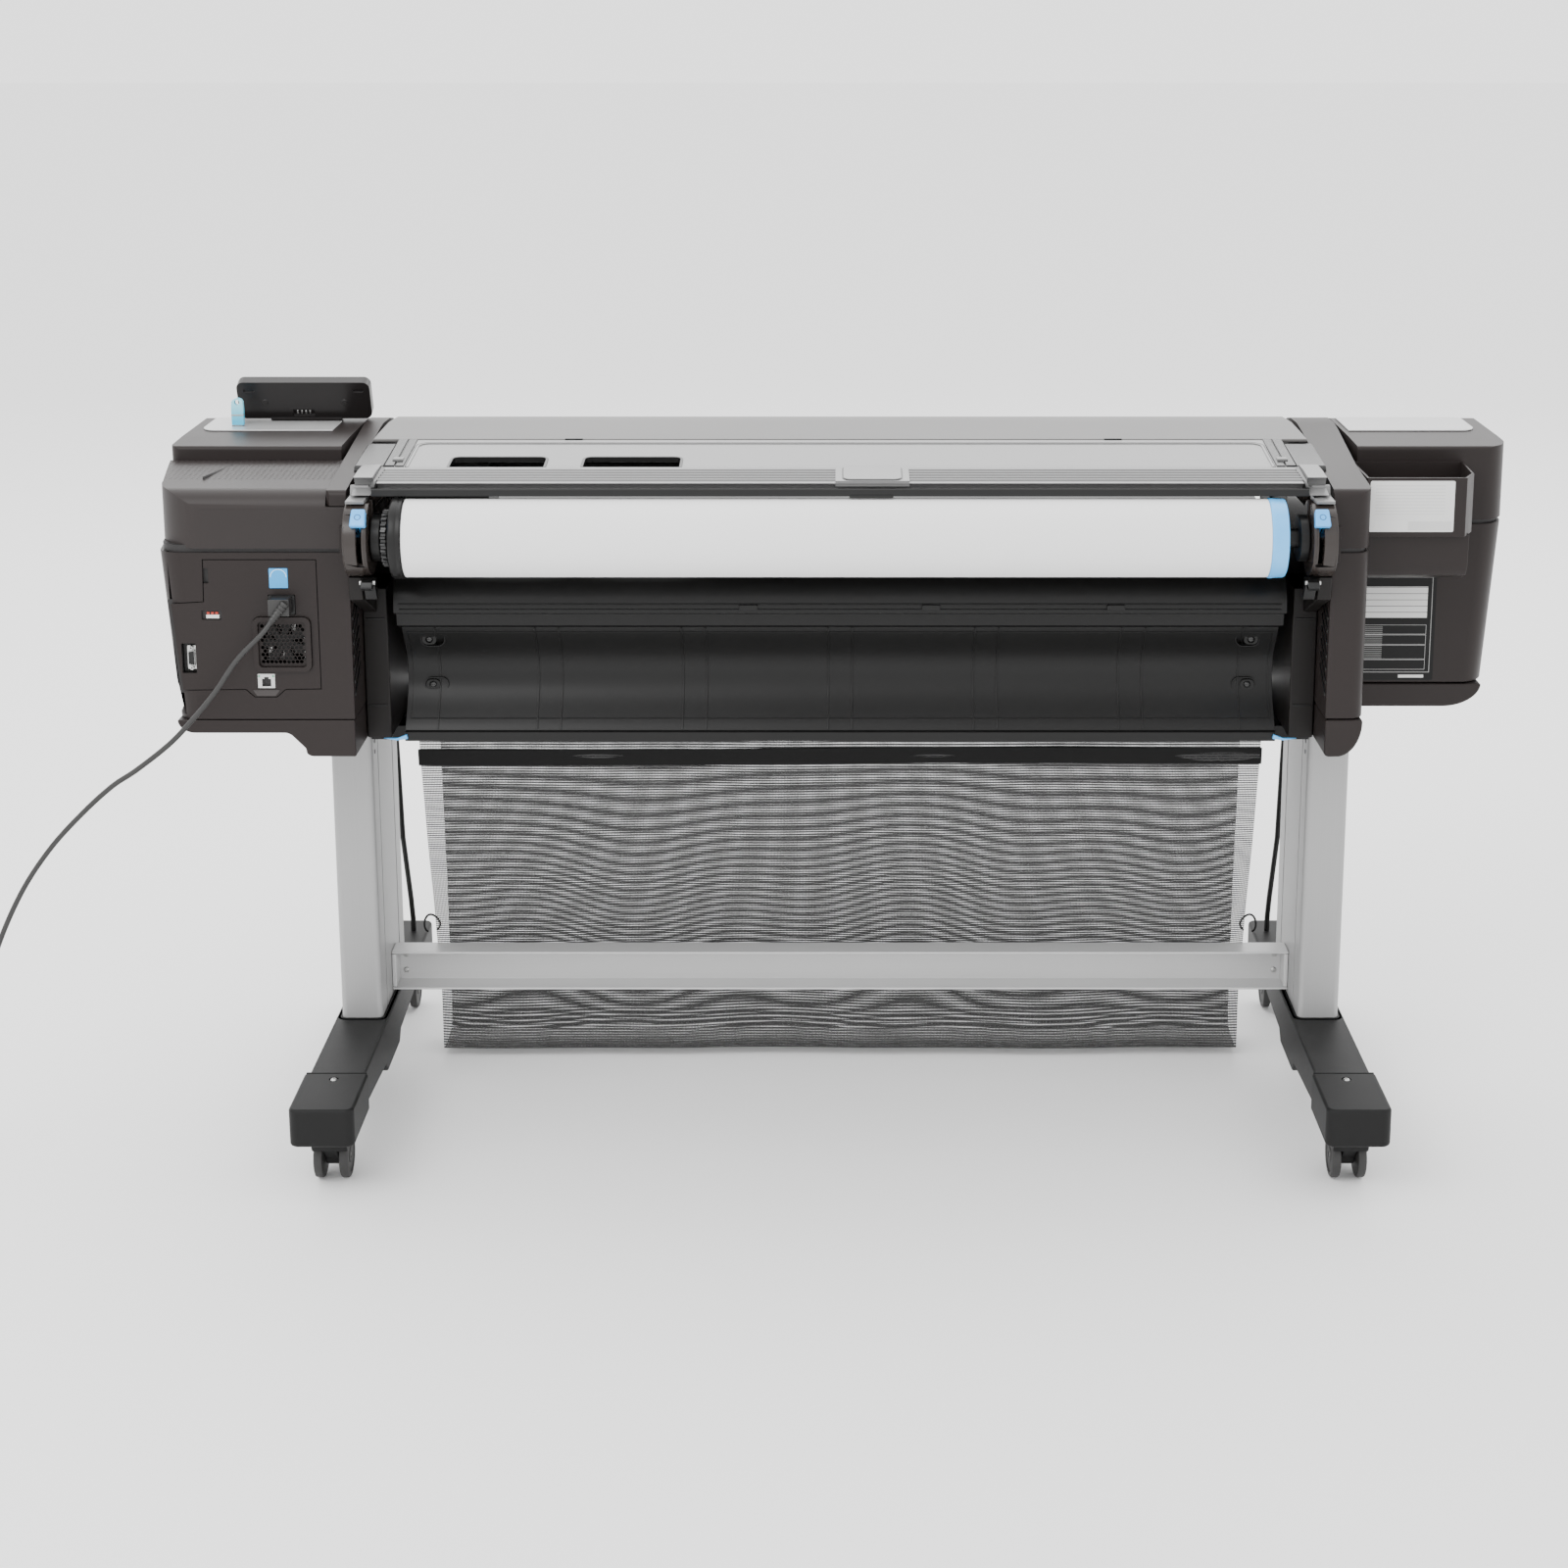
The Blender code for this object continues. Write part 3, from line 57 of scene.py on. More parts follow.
# ------------------------------------------------------------------ mains cord
# A black rubber lead, 7 mm thick and 1.95 m long, from the angled plug in the inlet. It drops past the
# left end to the floor, and the length that isn't in use is wound beside the machine with the wall plug
# on its end.
CORD_RADIUS = 0.0035
CORD_ROUTE = [
    (-0.7292, -0.2190, 0.7455),
    (-0.7420, -0.2235, 0.7290),
    (-0.7744, -0.2270, 0.6960),
    (-0.8045, -0.2300, 0.6530),
    (-0.8358, -0.2320, 0.6160),
    (-0.8670, -0.2330, 0.5840),
    (-0.9110, -0.2340, 0.5497),
    (-0.9422, -0.2345, 0.5290),
    (-0.9820, -0.2350, 0.4934),
    (-1.0280, -0.2350, 0.4440),
    (-1.0700, -0.2350, 0.3830),
    (-1.1070, -0.2350, 0.3050),
    (-1.1360, -0.2345, 0.2150),
    (-1.1570, -0.2335, 0.1250),
    (-1.1730, -0.2300, 0.0560),
    (-1.1870, -0.2230, 0.0200),
    (-1.2060, -0.2120, 0.0060),
    (-1.2300, -0.2010, 0.0040),
]
COIL_CENTRE = (-1.2500, -0.2500)


class Signal:
    """A shader node's output, which can be used in a sum."""

    def __init__(self, socket):
        self.socket = socket

    def node(self, kind, settings, values, output=0):
        """Another node in the same material: its settings first, then what goes into its sockets."""
        made = self.socket.id_data.nodes.new(kind)
        for name, value in settings.items():
            setattr(made, name, value)
        for key, value in values.items():
            self.feed(made.inputs[key], value)
        return Signal(made.outputs[output])

    def feed(self, socket, value):
        if isinstance(value, Signal):
            self.socket.id_data.links.new(value.socket, socket)
        else:
            socket.default_value = value

    def maths(self, operation, first, second=0.0):
        return self.node("ShaderNodeMath", {"operation": operation}, {0: first, 1: second})

    def __add__(self, other):
        return self.maths("ADD", self, other)

    __radd__ = __add__

    def __sub__(self, other):
        return self.maths("SUBTRACT", self, other)

    def __rsub__(self, other):
        return self.maths("SUBTRACT", other, self)

    def __mul__(self, other):
        return self.maths("MULTIPLY", self, other)

    __rmul__ = __mul__

    def __truediv__(self, other):
        return self.maths("DIVIDE", self, other)

    def __gt__(self, other):
        return self.maths("GREATER_THAN", self, other)

    def __lt__(self, other):
        return self.maths("LESS_THAN", self, other)

    def __mod__(self, other):
        return self.maths("FLOORED_MODULO", self, other)

    def absolute(self):
        return self.maths("ABSOLUTE", self)

    def noise(self, scale, detail=2.0, roughness=0.5):
        """Cloudy values near a half, at so many cells a metre, with this signal as the place."""
        values = {"Vector": self, "Scale": scale, "Detail": detail, "Roughness": roughness}
        return self.node("ShaderNodeTexNoise", {}, values)

    def stretched(self, x, y, z):
        """This place, drawn out along the axes."""
        return self.node("ShaderNodeVectorMath", {"operation": "MULTIPLY"}, {0: self, 1: (x, y, z)})

    def along(self, axis):
        """One coordinate of this place: X, Y or Z."""
        return self.node("ShaderNodeSeparateXYZ", {}, {0: self}, axis)

    def blend(self, low, high):
        """A colour between two, by this value."""
        return self.node("ShaderNodeMix", {"data_type": "RGBA"}, {"Factor": self, "A": low, "B": high},
                         "Result")

    def bump(self, distance, strength=1.0, normal=None):
        values = {"Height": self, "Distance": distance, "Strength": strength}
        if normal is not None:
            values["Normal"] = normal
        return self.node("ShaderNodeBump", {}, values)


def colour(red, green, blue):
    return (red, green, blue, 1.0)


class Finish:
    """A material with one shader, and the place on the piece in metres to write it with."""

    def __init__(self, name):
        self.material = bpy.data.materials.new(name)
        self.material.use_nodes = True
        tree = self.material.node_tree
        self.shader = tree.nodes["Principled BSDF"]
        self.place = Signal(tree.nodes.new("ShaderNodeTexCoord").outputs["Object"])

    def set(self, **values):
        """Feeds the shader's sockets, named in lower case."""
        for name, value in values.items():
            self.place.feed(self.shader.inputs[name.replace("_", " ").title().replace("Ior", "IOR")], value)
        return self.material


rubber = Finish("cord_rubber")
rub_clouds = rubber.place.noise(60.0, 3.0)
rub_grain = rubber.place.noise(2500.0, 2.0)
rubber.set(
    base_color=rub_clouds.blend(colour(0.010, 0.010, 0.010), colour(0.022, 0.021, 0.020)),
    roughness=0.42 + rub_clouds * 0.15,
    normal=rub_grain.bump(0.00002, 0.5),
)


# The coil is two turns wide and two high: outside, inside, up, and outside again, then off to the wall
# plug.
COIL_INNER, COIL_OUTER = 0.0364, 0.0436
COIL_LOW, COIL_HIGH = 0.0038, 0.0110
COIL_START, COIL_END = 90, 90 + 1230
COIL_LEAD = [
    (-1.2953, -0.2412, 0.0110),
    (-1.3000, -0.2560, 0.0112),
    (-1.3005, -0.2720, 0.0114),
    (-1.2965, -0.2875, 0.0116),
    (-1.2885, -0.3010, 0.0118),
    (-1.2770, -0.3110, 0.0120),
    (-1.2630, -0.3165, 0.0120),
    (-1.2500, -0.3175, 0.0120),
]


def eased_step(value, start, end):
    """0 before start, 1 after end, and smooth between."""
    share = min(1.0, max(0.0, (value - start) / (end - start)))
    return share * share * (3 - 2 * share)


coil = []
for turned_by in range(10, COIL_END - COIL_START + 1, 20):
    inward = eased_step(turned_by, 270, 360) - eased_step(turned_by, 870, 940)
    upward = eased_step(turned_by, 540, 630)
    radius = COIL_OUTER + (COIL_INNER - COIL_OUTER) * inward
    angle = math.radians(COIL_START + turned_by)
    coil.append((COIL_CENTRE[0] + radius * math.cos(angle), COIL_CENTRE[1] + radius * math.sin(angle),
                 COIL_LOW + (COIL_HIGH - COIL_LOW) * upward))


def smooth_route(points, spacing):
    """Points at an even spacing on one smooth curve through the given points."""
    ends = [2 * Vector(points[0]) - Vector(points[1])] + [Vector(p) for p in points]
    ends.append(2 * Vector(points[-1]) - Vector(points[-2]))
    fine = []
    for i in range(1, len(ends) - 2):
        a, b, c, d = ends[i - 1:i + 3]
        for step in range(12):
            t = step / 12
            fine.append(0.5 * (2 * b + (c - a) * t + (2 * a - 5 * b + 4 * c - d) * t * t
                               + (3 * b - a - 3 * c + d) * t ** 3))
    fine.append(ends[-2])
    even, left = [fine[0]], spacing
    for start, end in zip(fine, fine[1:]):
        length = (end - start).length
        while length >= left:
            start = start + (end - start) * (left / length)
            even.append(start)
            length = (end - start).length
            left = spacing
        left -= length
    if (even[-1] - fine[-1]).length > spacing / 2:
        even.append(fine[-1])
    else:
        even[-1] = fine[-1]
    return even


def wire(name, points, radius, resolution=4):
    """A round wire along points, with closed ends."""
    curve = bpy.data.curves.new(name, "CURVE")
    curve.dimensions = "3D"
    curve.bevel_depth = radius
    curve.bevel_resolution = resolution
    curve.use_fill_caps = True
    spline = curve.splines.new("POLY")
    spline.points.add(len(points) - 1)
    for point, place in zip(spline.points, points):
        point.co = (*place, 1.0)
    made = bpy.data.objects.new(name, curve)
    bpy.context.scene.collection.objects.link(made)
    return made


def fit(target, material, body="chassis", replaces=()):
    """Gives a piece its finish and fixes it to the body that carries it."""
    target.data.materials.clear()
    target.data.materials.append(material)
    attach(target, body)
    if replaces:
        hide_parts(*replaces)
    return target


lead = wire("mains_cord", smooth_route(CORD_ROUTE + coil + COIL_LEAD, 0.008), CORD_RADIUS)
fit(lead, rubber.material, replaces=("power_cord", "cord_coil"))


def arc(centre, radii, start, end, steps):
    """Points on an ellipse from one angle to another, in degrees."""
    turned_to = [math.radians(start + (end - start) * i / steps) for i in range(steps + 1)]
    return [(centre[0] + radii[0] * math.cos(a), centre[1] + radii[1] * math.sin(a)) for a in turned_to]


def linked(name, shape, mesh=None):
    """An object of a finished bmesh."""
    mesh = mesh or bpy.data.meshes.new(name)
    shape.to_mesh(mesh)
    shape.free()
    mesh.name = name
    mesh.materials.clear()
    made = bpy.data.objects.new(name, mesh)
    bpy.context.scene.collection.objects.link(made)
    return made


def turned(name, profile, centre, axis, steps=48, hollow=False):
    """A profile of (along, radius) pairs turned about an axis through centre."""
    shape = bmesh.new()
    rings = []
    facing = {"X": Matrix(((0, 0, 1), (1, 0, 0), (0, 1, 0))), "Y": Matrix(((0, 1, 0), (0, 0, 1), (1, 0, 0))),
              "Z": Matrix.Identity(3)}[axis]
    for along, radius in profile:
        if radius < 1e-7:
            rings.append([shape.verts.new(facing @ Vector((0, 0, along)))])
            continue
        ring = arc((0, 0), (radius, radius), 0, 360 * (steps - 1) / steps, steps - 1)
        rings.append([shape.verts.new(facing @ Vector((a, b, along))) for a, b in ring])
    pairs = list(zip(rings, rings[1:]))
    if hollow:
        pairs.append((rings[-1], rings[0]))
    for low, high in pairs:
        for i in range(steps):
            j = (i + 1) % steps
            corners = [low[i % len(low)], low[j % len(low)], high[j % len(high)], high[i % len(high)]]
            corners = [v for k, v in enumerate(corners) if v not in corners[:k]]
            if len(corners) > 2:
                shape.faces.new(corners)
    shape.transform(Matrix.Translation(centre))
    bmesh.ops.recalc_face_normals(shape, faces=shape.faces)
    return linked(name, shape)


def settle(target):
    """Makes an object's modifiers part of its mesh."""
    graph = bpy.context.evaluated_depsgraph_get()
    target.data = bpy.data.meshes.new_from_object(target.evaluated_get(graph))
    target.modifiers.clear()


def smooth(target, angle=35):
    """Shades smooth across edges below an angle, and keeps wide flat faces flat."""
    mesh = target.data
    if mesh.has_custom_normals:
        mesh.attributes.remove(mesh.attributes["custom_normal"])
    mesh.shade_smooth()
    mesh.set_sharp_from_angle(angle=math.radians(angle))
    even = target.modifiers.new("even", "WEIGHTED_NORMAL")
    even.keep_sharp = True
    settle(target)
    return target


def relief(name, tip, heading, length, thick, thin, ribs=6):
    """A tapered, ribbed sleeve from a plug out to the cord."""
    profile = [(0.0, 0.0), (0.0, thick)]
    for rib in range(ribs):
        start, share = length * rib / ribs, rib / ribs
        radius = thick + (thin - thick) * share
        profile += [(start + length * 0.10 / ribs, radius), (start + length * 0.62 / ribs, radius * 0.97)]
        profile += [(start + length * 0.68 / ribs, radius * 0.84),
                    (start + length * 0.95 / ribs, radius * 0.82)]
    profile += [(length, thin * 0.84), (length, 0.0)]
    made = turned(name, profile, (0, 0, 0), "Z", 24)
    turn = Vector(heading).normalized().to_track_quat("Z", "X").to_matrix().to_4x4()
    made.data.transform(Matrix.Translation(Vector(tip) - Vector(heading).normalized() * length) @ turn)
    return smooth(made, 50)


def block(name, low, high):
    shape = bmesh.new()
    bmesh.ops.create_cube(shape, size=1.0)
    size, middle = Vector(high) - Vector(low), (Vector(high) + Vector(low)) / 2
    shape.transform(Matrix.Translation(middle) @ Matrix.Diagonal((*size, 1.0)))
    return linked(name, shape)


def carve(target, operation, *others):
    """Cuts, joins or meets other meshes with a target, for good."""
    for other in others:
        step = target.modifiers.new("carve", "BOOLEAN")
        step.operation = operation
        step.object = other
    settle(target)
    for other in others:
        bpy.data.objects.remove(other, do_unlink=True)
    return target


def eased(target, width, segments=3, angle=30):
    """Rounds the edges as a mould does, and shades the faces smooth between them."""
    edge = target.modifiers.new("eased", "BEVEL")
    edge.width = width
    edge.segments = segments
    edge.limit_method = "ANGLE"
    edge.angle_limit = math.radians(angle)
    settle(target)
    return smooth(target)


CORD_EXIT = Vector(CORD_ROUTE[0])
leaving = Vector(CORD_ROUTE[1]) - CORD_EXIT
angled_plug = block("inlet_plug_body", (-0.7352, -0.2120, 0.7495), (-0.7080, -0.1915, 0.7715))
carve(angled_plug, "UNION", block("plug_front", (-0.7335, -0.1950, 0.7520), (-0.7098, -0.1705, 0.7675)))
eased(angled_plug, 0.0030, 4)
fit(angled_plug, rubber.material, replaces=("inlet_plug",))
sleeve = relief("inlet_plug_relief", CORD_EXIT + leaving.normalized() * 0.002, leaving, 0.030, 0.0062, 0.0046)
fit(sleeve, rubber.material)

plug_x, plug_y = COIL_CENTRE[0], COIL_CENTRE[1] - 0.0675
wall_plug = block("wall_plug_body", (plug_x + 0.0280, plug_y - 0.0150, 0.0005),
                  (plug_x + 0.0700, plug_y + 0.0150, 0.0255))
grips = [block("grip", (plug_x + 0.034 + 0.005 * i, plug_y - 0.016, 0.0240),
               (plug_x + 0.036 + 0.005 * i, plug_y + 0.016, 0.03))
         for i in range(5)]
eased(carve(wall_plug, "DIFFERENCE", *grips), 0.0035, 3)
fit(wall_plug, rubber.material, replaces=("mains_plug",))
wall_relief = relief("wall_plug_relief", (plug_x - 0.0010, plug_y, 0.0120), (-1, 0, 0), 0.031, 0.0060, 0.0046)
fit(wall_relief, rubber.material)

pin_metal = Finish("plated_pin")
pin_marks = pin_metal.place.stretched(60, 900, 900).noise(1.0, 2.0)
pin_metal.set(base_color=colour(0.62, 0.60, 0.55), metallic=1.0, roughness=0.22 + pin_marks * 0.15)
for side in (-1, 1):
    profile = [(0.0, 0.0), (0.0, 0.0022), (0.0220, 0.0022), (0.0238, 0.0010), (0.0238, 0.0)]
    pin = turned("wall_plug_pin_" + ("left" if side < 0 else "right"), profile,
                 (plug_x + 0.0695, plug_y + side * 0.008, 0.012),
                 "X", 16)
    fit(smooth(pin), pin_metal.material)


# ------------------------------------------------------------------ end housings, lower halves
# The two ends are boxes of warm dark grey ABS, moulded with a fine spark grain. Each is a pair of shells
# that meet at a dark groove; the left one holds the electronics and the right one the ink. Both draw in a
# little towards the foot.
TOWER_REAR, BOX_REAR, BODY_FRONT = -0.190, -0.010, 0.290
LOWER_SEAM, UPPER_SEAM, TOP = 0.605, 0.832, 0.936
BAY_HALF, HALF_WIDTH, TOWER_OUT = 0.633, 0.901, 0.683
WARM_GREY = colour(0.0170, 0.0132, 0.0126)


def tinted(shade, share):
    """The same colour, lighter or darker by a share."""
    return tuple(min(1.0, part * (1 + share)) for part in shade[:3]) + (1.0,)


def moulded(name, shade, roughness=0.5, grain=0.0007, depth=0.00004, uneven=0.10, shine=0.5):
    """Moulded plastic: a fine spark-eroded grain, faint flow clouds, and roughness that wanders a little."""
    made = Finish(name)
    clouds = made.place.noise(5.0, 3.0)
    grains = made.place.noise(1 / grain, 2.0, 0.6)
    dust = made.place.noise(90.0, 3.0, 0.65)
    made.set(
        base_color=(clouds * 0.7 + dust * 0.3).blend(tinted(shade, -uneven), tinted(shade, uneven)),
        roughness=roughness - 0.06 + clouds * 0.08 + grains * 0.05,
        specular_ior_level=shine,
        normal=grains.bump(depth, 0.6),
    )
    return made.material


housing = moulded("housing_plastic", WARM_GREY, 0.42, uneven=0.12, shine=0.18)


def left_plan(corner, grow=0.0):
    """The left end's outline from above: its side draws in towards the rear."""
    side_rear = -0.8815 - grow
    points = [(-BAY_HALF + grow, TOWER_REAR - grow)]
    points += arc((side_rear + corner, TOWER_REAR - grow + corner), (corner, corner), 270, 180, 14)
    points += [(-HALF_WIDTH - grow, BOX_REAR), (-HALF_WIDTH - grow, 0.230)]
    points += arc((-HALF_WIDTH + 0.055 - grow, BODY_FRONT - 0.055 + grow), (0.055, 0.055), 180, 90, 10)
    return points + [(-BAY_HALF + grow, BODY_FRONT + grow)]


def right_plan(grow=0.0):
    """The right end's: the tower by the roll bay, and the ink box set back beside it."""
    points = [(BAY_HALF - grow, TOWER_REAR - grow)]
    points += arc((TOWER_OUT + grow - 0.018, TOWER_REAR - grow + 0.018), (0.018, 0.018), 270, 360, 10)
    points += [(TOWER_OUT + grow, BOX_REAR - grow)]
    points += arc((HALF_WIDTH + grow - 0.034, BOX_REAR - grow + 0.044), (0.034, 0.044), 270, 360, 12)
    points += arc((HALF_WIDTH + grow - 0.055, BODY_FRONT - 0.055 + grow), (0.055, 0.055), 0, 90, 10)
    return points + [(BAY_HALF - grow, BODY_FRONT + grow)]


def draw_in(target, side, lean=0.072):
    """Leans a lower housing's outer wall in towards its foot."""
    for vertex in target.data.vertices:
        beyond = abs(vertex.co.x) - 0.80
        if vertex.co.x * side > 0 and beyond > 0:
            vertex.co.x -= side * lean * (UPPER_SEAM - vertex.co.z)


VIEWS = {
    "side": Matrix(((0, 0, 1, 0), (1, 0, 0, 0), (0, 1, 0, 0), (0, 0, 0, 1))),
    "rear": Matrix(((1, 0, 0, 0), (0, 0, -1, 0), (0, 1, 0, 0), (0, 0, 0, 1))),
    "plan": Matrix(),
}
THICKNESS_ALONG = {"side": (1, 0, 0), "rear": (0, 1, 0), "plan": (0, 0, 1)}


def slab(name, view, outline, low, high, holes=()):
    """A flat outline, with any holes, given thickness from low to high."""
    curve = bpy.data.curves.new(name, "CURVE")
    curve.dimensions = "2D"
    curve.fill_mode = "BOTH"
    curve.extrude = (high - low) / 2
    for loop in (outline, *holes):
        spline = curve.splines.new("POLY")
        spline.points.add(len(loop) - 1)
        for point, (a, b) in zip(spline.points, loop):
            point.co = (a, b, 0.0, 1.0)
        spline.use_cyclic_u = True
    flat = bpy.data.objects.new(name + "_outline", curve)
    bpy.context.scene.collection.objects.link(flat)
    graph = bpy.context.evaluated_depsgraph_get()
    mesh = bpy.data.meshes.new_from_object(flat.evaluated_get(graph))
    bpy.data.objects.remove(flat, do_unlink=True)
    shape = bmesh.new()
    shape.from_mesh(mesh)
    bmesh.ops.remove_doubles(shape, verts=shape.verts, dist=1e-6)
    bmesh.ops.dissolve_limit(shape, angle_limit=0.001, verts=shape.verts, edges=shape.edges)
    shape.transform(Matrix.Translation(Vector(THICKNESS_ALONG[view]) * (low + high) / 2) @ VIEWS[view])
    bmesh.ops.recalc_face_normals(shape, faces=shape.faces)
    if shape.calc_volume(signed=True) < 0:
        bmesh.ops.reverse_faces(shape, faces=shape.faces)
    return linked(name, shape, mesh)


left_lower = slab("electronics_shell", "plan", left_plan(0.030), LOWER_SEAM + 0.0012, UPPER_SEAM - 0.0035)
draw_in(left_lower, -1)
carve(left_lower, "DIFFERENCE",
      block("left_room", (-0.868, TOWER_REAR + 0.006, LOWER_SEAM + 0.006), (-0.642, 0.27, 0.9)))
PLATE_OUTLINE = [
    (-0.8218, 0.8199), (-0.8231, 0.7641), (-0.8661, 0.7616), (-0.8560, 0.6445), (-0.7736, 0.6457),
    (-0.7622, 0.6355), (-0.7330, 0.6355), (-0.7216, 0.6457), (-0.6747, 0.6463), (-0.6747, 0.8199),
]
carve(left_lower, "DIFFERENCE",
      slab("plate_opening", "rear", PLATE_OUTLINE, TOWER_REAR - 0.01, TOWER_REAR + 0.02))
eased(left_lower, 0.0022)
fit(left_lower, housing, replaces=("electronics_housing",))

right_lower = slab("ink_shell", "plan", right_plan(), LOWER_SEAM + 0.0012, UPPER_SEAM - 0.0035)
draw_in(right_lower, 1)
carve(right_lower, "DIFFERENCE",
      block("right_room", (BAY_HALF + 0.008, 0.004, LOWER_SEAM + 0.006), (0.868, 0.27, 0.9)))
eased(right_lower, 0.0022)
fit(right_lower, housing, replaces=("ink_housing",))

# The groove between the halves is filled by a near-black strip, painted shade for the dark recess, which
# shows as a thin dark line with a bright lip. Its near-black finish is the painted shade for every gap, seam,
# pocket and hole below.
gap_shade = Finish("painted_gap_shade")
gap_shade.set(base_color=colour(0.006, 0.005, 0.005), roughness=0.5 + gap_shade.place.noise(400.0) * 0.2)
left_shade_strip = slab("left_groove_shade", "plan", left_plan(0.028, -0.0040), UPPER_SEAM - 0.012, UPPER_SEAM + 0.006)
draw_in(left_shade_strip, -1)
right_shade_strip = slab("right_groove_shade", "plan", right_plan(-0.0040), UPPER_SEAM - 0.012, UPPER_SEAM + 0.006)
draw_in(right_shade_strip, 1)
for rib in (left_shade_strip, right_shade_strip):
    carve(rib, "DIFFERENCE", block("shade_strip_room", (-0.86, TOWER_REAR + 0.02, 0.7), (-0.64, 0.26, 0.9)),
          block("shade_strip_room", (0.64, 0.01, 0.7), (0.86, 0.26, 0.9)))
    fit(smooth(rib), gap_shade.material)


# ------------------------------------------------------------------ bottom covers
# Deep trays that screw up under each end; the left one steps down to the post, and the right one curls up
# outside.
bottom_line = [(-BAY_HALF - 0.0005, LOWER_SEAM - 0.0004), (-0.8650, LOWER_SEAM - 0.0004)]
bottom_line += arc((-0.8420, LOWER_SEAM), (0.0230, 0.0180), 180, 270, 12)[1:]
bottom_line += [(-0.7320, 0.5870)] + arc((-0.7260, 0.5720), (0.0150, 0.0150), 90, 45, 4)
bottom_line += [(-0.6990, 0.5660)] + arc((-0.6885, 0.5680), (0.0130, 0.0130), 225, 270, 4)
bottom_line += [(-BAY_HALF - 0.0005, 0.5550)]
left_bottom = slab("electronics_bottom_tray", "rear", bottom_line, TOWER_REAR, BODY_FRONT - 0.005)
fit(eased(left_bottom, 0.0060, 4), housing, replaces=("left_bottom_cover",))

right_line = [(BAY_HALF + 0.0005, LOWER_SEAM - 0.0004), (BAY_HALF + 0.0005, 0.5715)]
right_line += arc((0.826, 0.6050), (0.0530, 0.0335), 270, 358, 14)
right_bottom = slab("ink_bottom_tray", "rear", right_line, BOX_REAR, BODY_FRONT - 0.005)
fit(eased(right_bottom, 0.0070, 4), housing, replaces=("right_bottom_cover",))
tip_line = [(BAY_HALF + 0.0005, LOWER_SEAM - 0.0004), (BAY_HALF + 0.0005, 0.5560), (BAY_HALF + 0.006, 0.5540)]
tip_line += arc((0.650, 0.6010), (0.0325, 0.0470), 275, 360, 12) + [(0.6825, LOWER_SEAM - 0.0004)]
tower_tip = slab("tower_tip", "rear", tip_line, TOWER_REAR, BOX_REAR - 0.0006)
fit(eased(tower_tip, 0.0050, 4), housing)


def rounded(low, high, radius, steps=5):
    """A rectangle's outline with round corners."""
    corners = [(high[0] - radius, high[1] - radius), (low[0] + radius, high[1] - radius),
               (low[0] + radius, low[1] + radius), (high[0] - radius, low[1] + radius)]
    points = []
    for turn, corner in enumerate(corners):
        points += arc(corner, (radius, radius), 90 * turn, 90 * turn + 90, steps)
    return points


post_seat = slab("right_post_seat", "rear", rounded((0.6370, 0.5552), (0.7025, 0.5900), 0.006),
                 BOX_REAR + 0.0006, 0.1760)
fit(eased(post_seat, 0.003), housing)


# ------------------------------------------------------------------ upper covers
# The left end has a domed shoulder whose top is stippled with small raised dots, and behind it a flat top
# cover.
def crowned(name, line, low, high, plan):
    """A cover that follows a line seen from the side, trimmed to an outline seen from above."""
    made = slab(name, "side", line, low, high)
    return carve(made, "INTERSECT", slab("plan_trim", "plan", plan, 0.7, 1.0))


shoulder_line = [(TOWER_REAR, UPPER_SEAM + 0.002), (TOWER_REAR, 0.886)]
shoulder_line += arc((-0.160, 0.884), (0.0300, 0.0250), 176, 96, 10)
shoulder_line += [(-0.120, 0.9120), (-0.060, 0.9148), (BOX_REAR - 0.001, 0.9160),
                  (BOX_REAR - 0.001, UPPER_SEAM + 0.002)]
shoulder = crowned("shoulder_shell", shoulder_line, -0.95, -BAY_HALF - 0.0008, left_plan(0.060))
arm_seat = [(-0.60, TOWER_REAR - 0.01), (-0.6600, TOWER_REAR - 0.01), (-0.6670, 0.130), (-0.60, 0.13)]
carve(shoulder, "DIFFERENCE", slab("arm_seat", "plan", arm_seat, 0.8885, 1.0))
eased(shoulder, 0.0060, 5, 28)

stippled = Finish("stippled_housing_plastic")
across, deep = stippled.place.along("X"), stippled.place.along("Y")
PITCH = 0.0072
cell_x = ((across / PITCH) % 1.0) - 0.5
cell_y = ((deep / PITCH) % 1.0) - 0.5
near_dot = 1.0 - (cell_x * cell_x + cell_y * cell_y) * 12.0
dots = near_dot.maths("MAXIMUM", near_dot, 0.0)
on_top = (deep > -0.125) * (stippled.place.along("Z") > 0.9085)
raised = dots * on_top
clouds = stippled.place.noise(5.0, 3.0)
grains = stippled.place.noise(1400.0, 2.0, 0.6)
# The raised dots are painted lighter than the plastic round them: a painted highlight on their tops.
stippled.set(
    base_color=(clouds * 0.7 + raised * 0.5).blend(tinted(WARM_GREY, -0.09), tinted(WARM_GREY, 0.35)),
    roughness=0.42 + clouds * 0.08 - raised * 0.10,
    specular_ior_level=0.26,
    normal=raised.bump(0.0009, 1.0, grains.bump(0.00004, 0.6)),
)
fit(shoulder, stippled.material, replaces=("shoulder_cover",))

# A seam crosses the stippled part where a small lid lifts; its dark line is painted shade in the gap.
seam = slab("lid_seam", "plan",
            [(-0.8070, -0.0125), (-0.8058, -0.0125), (-0.8300, -0.1240), (-0.8312, -0.1240)], 0.9000, 0.91545)
fit(seam, gap_shade.material)

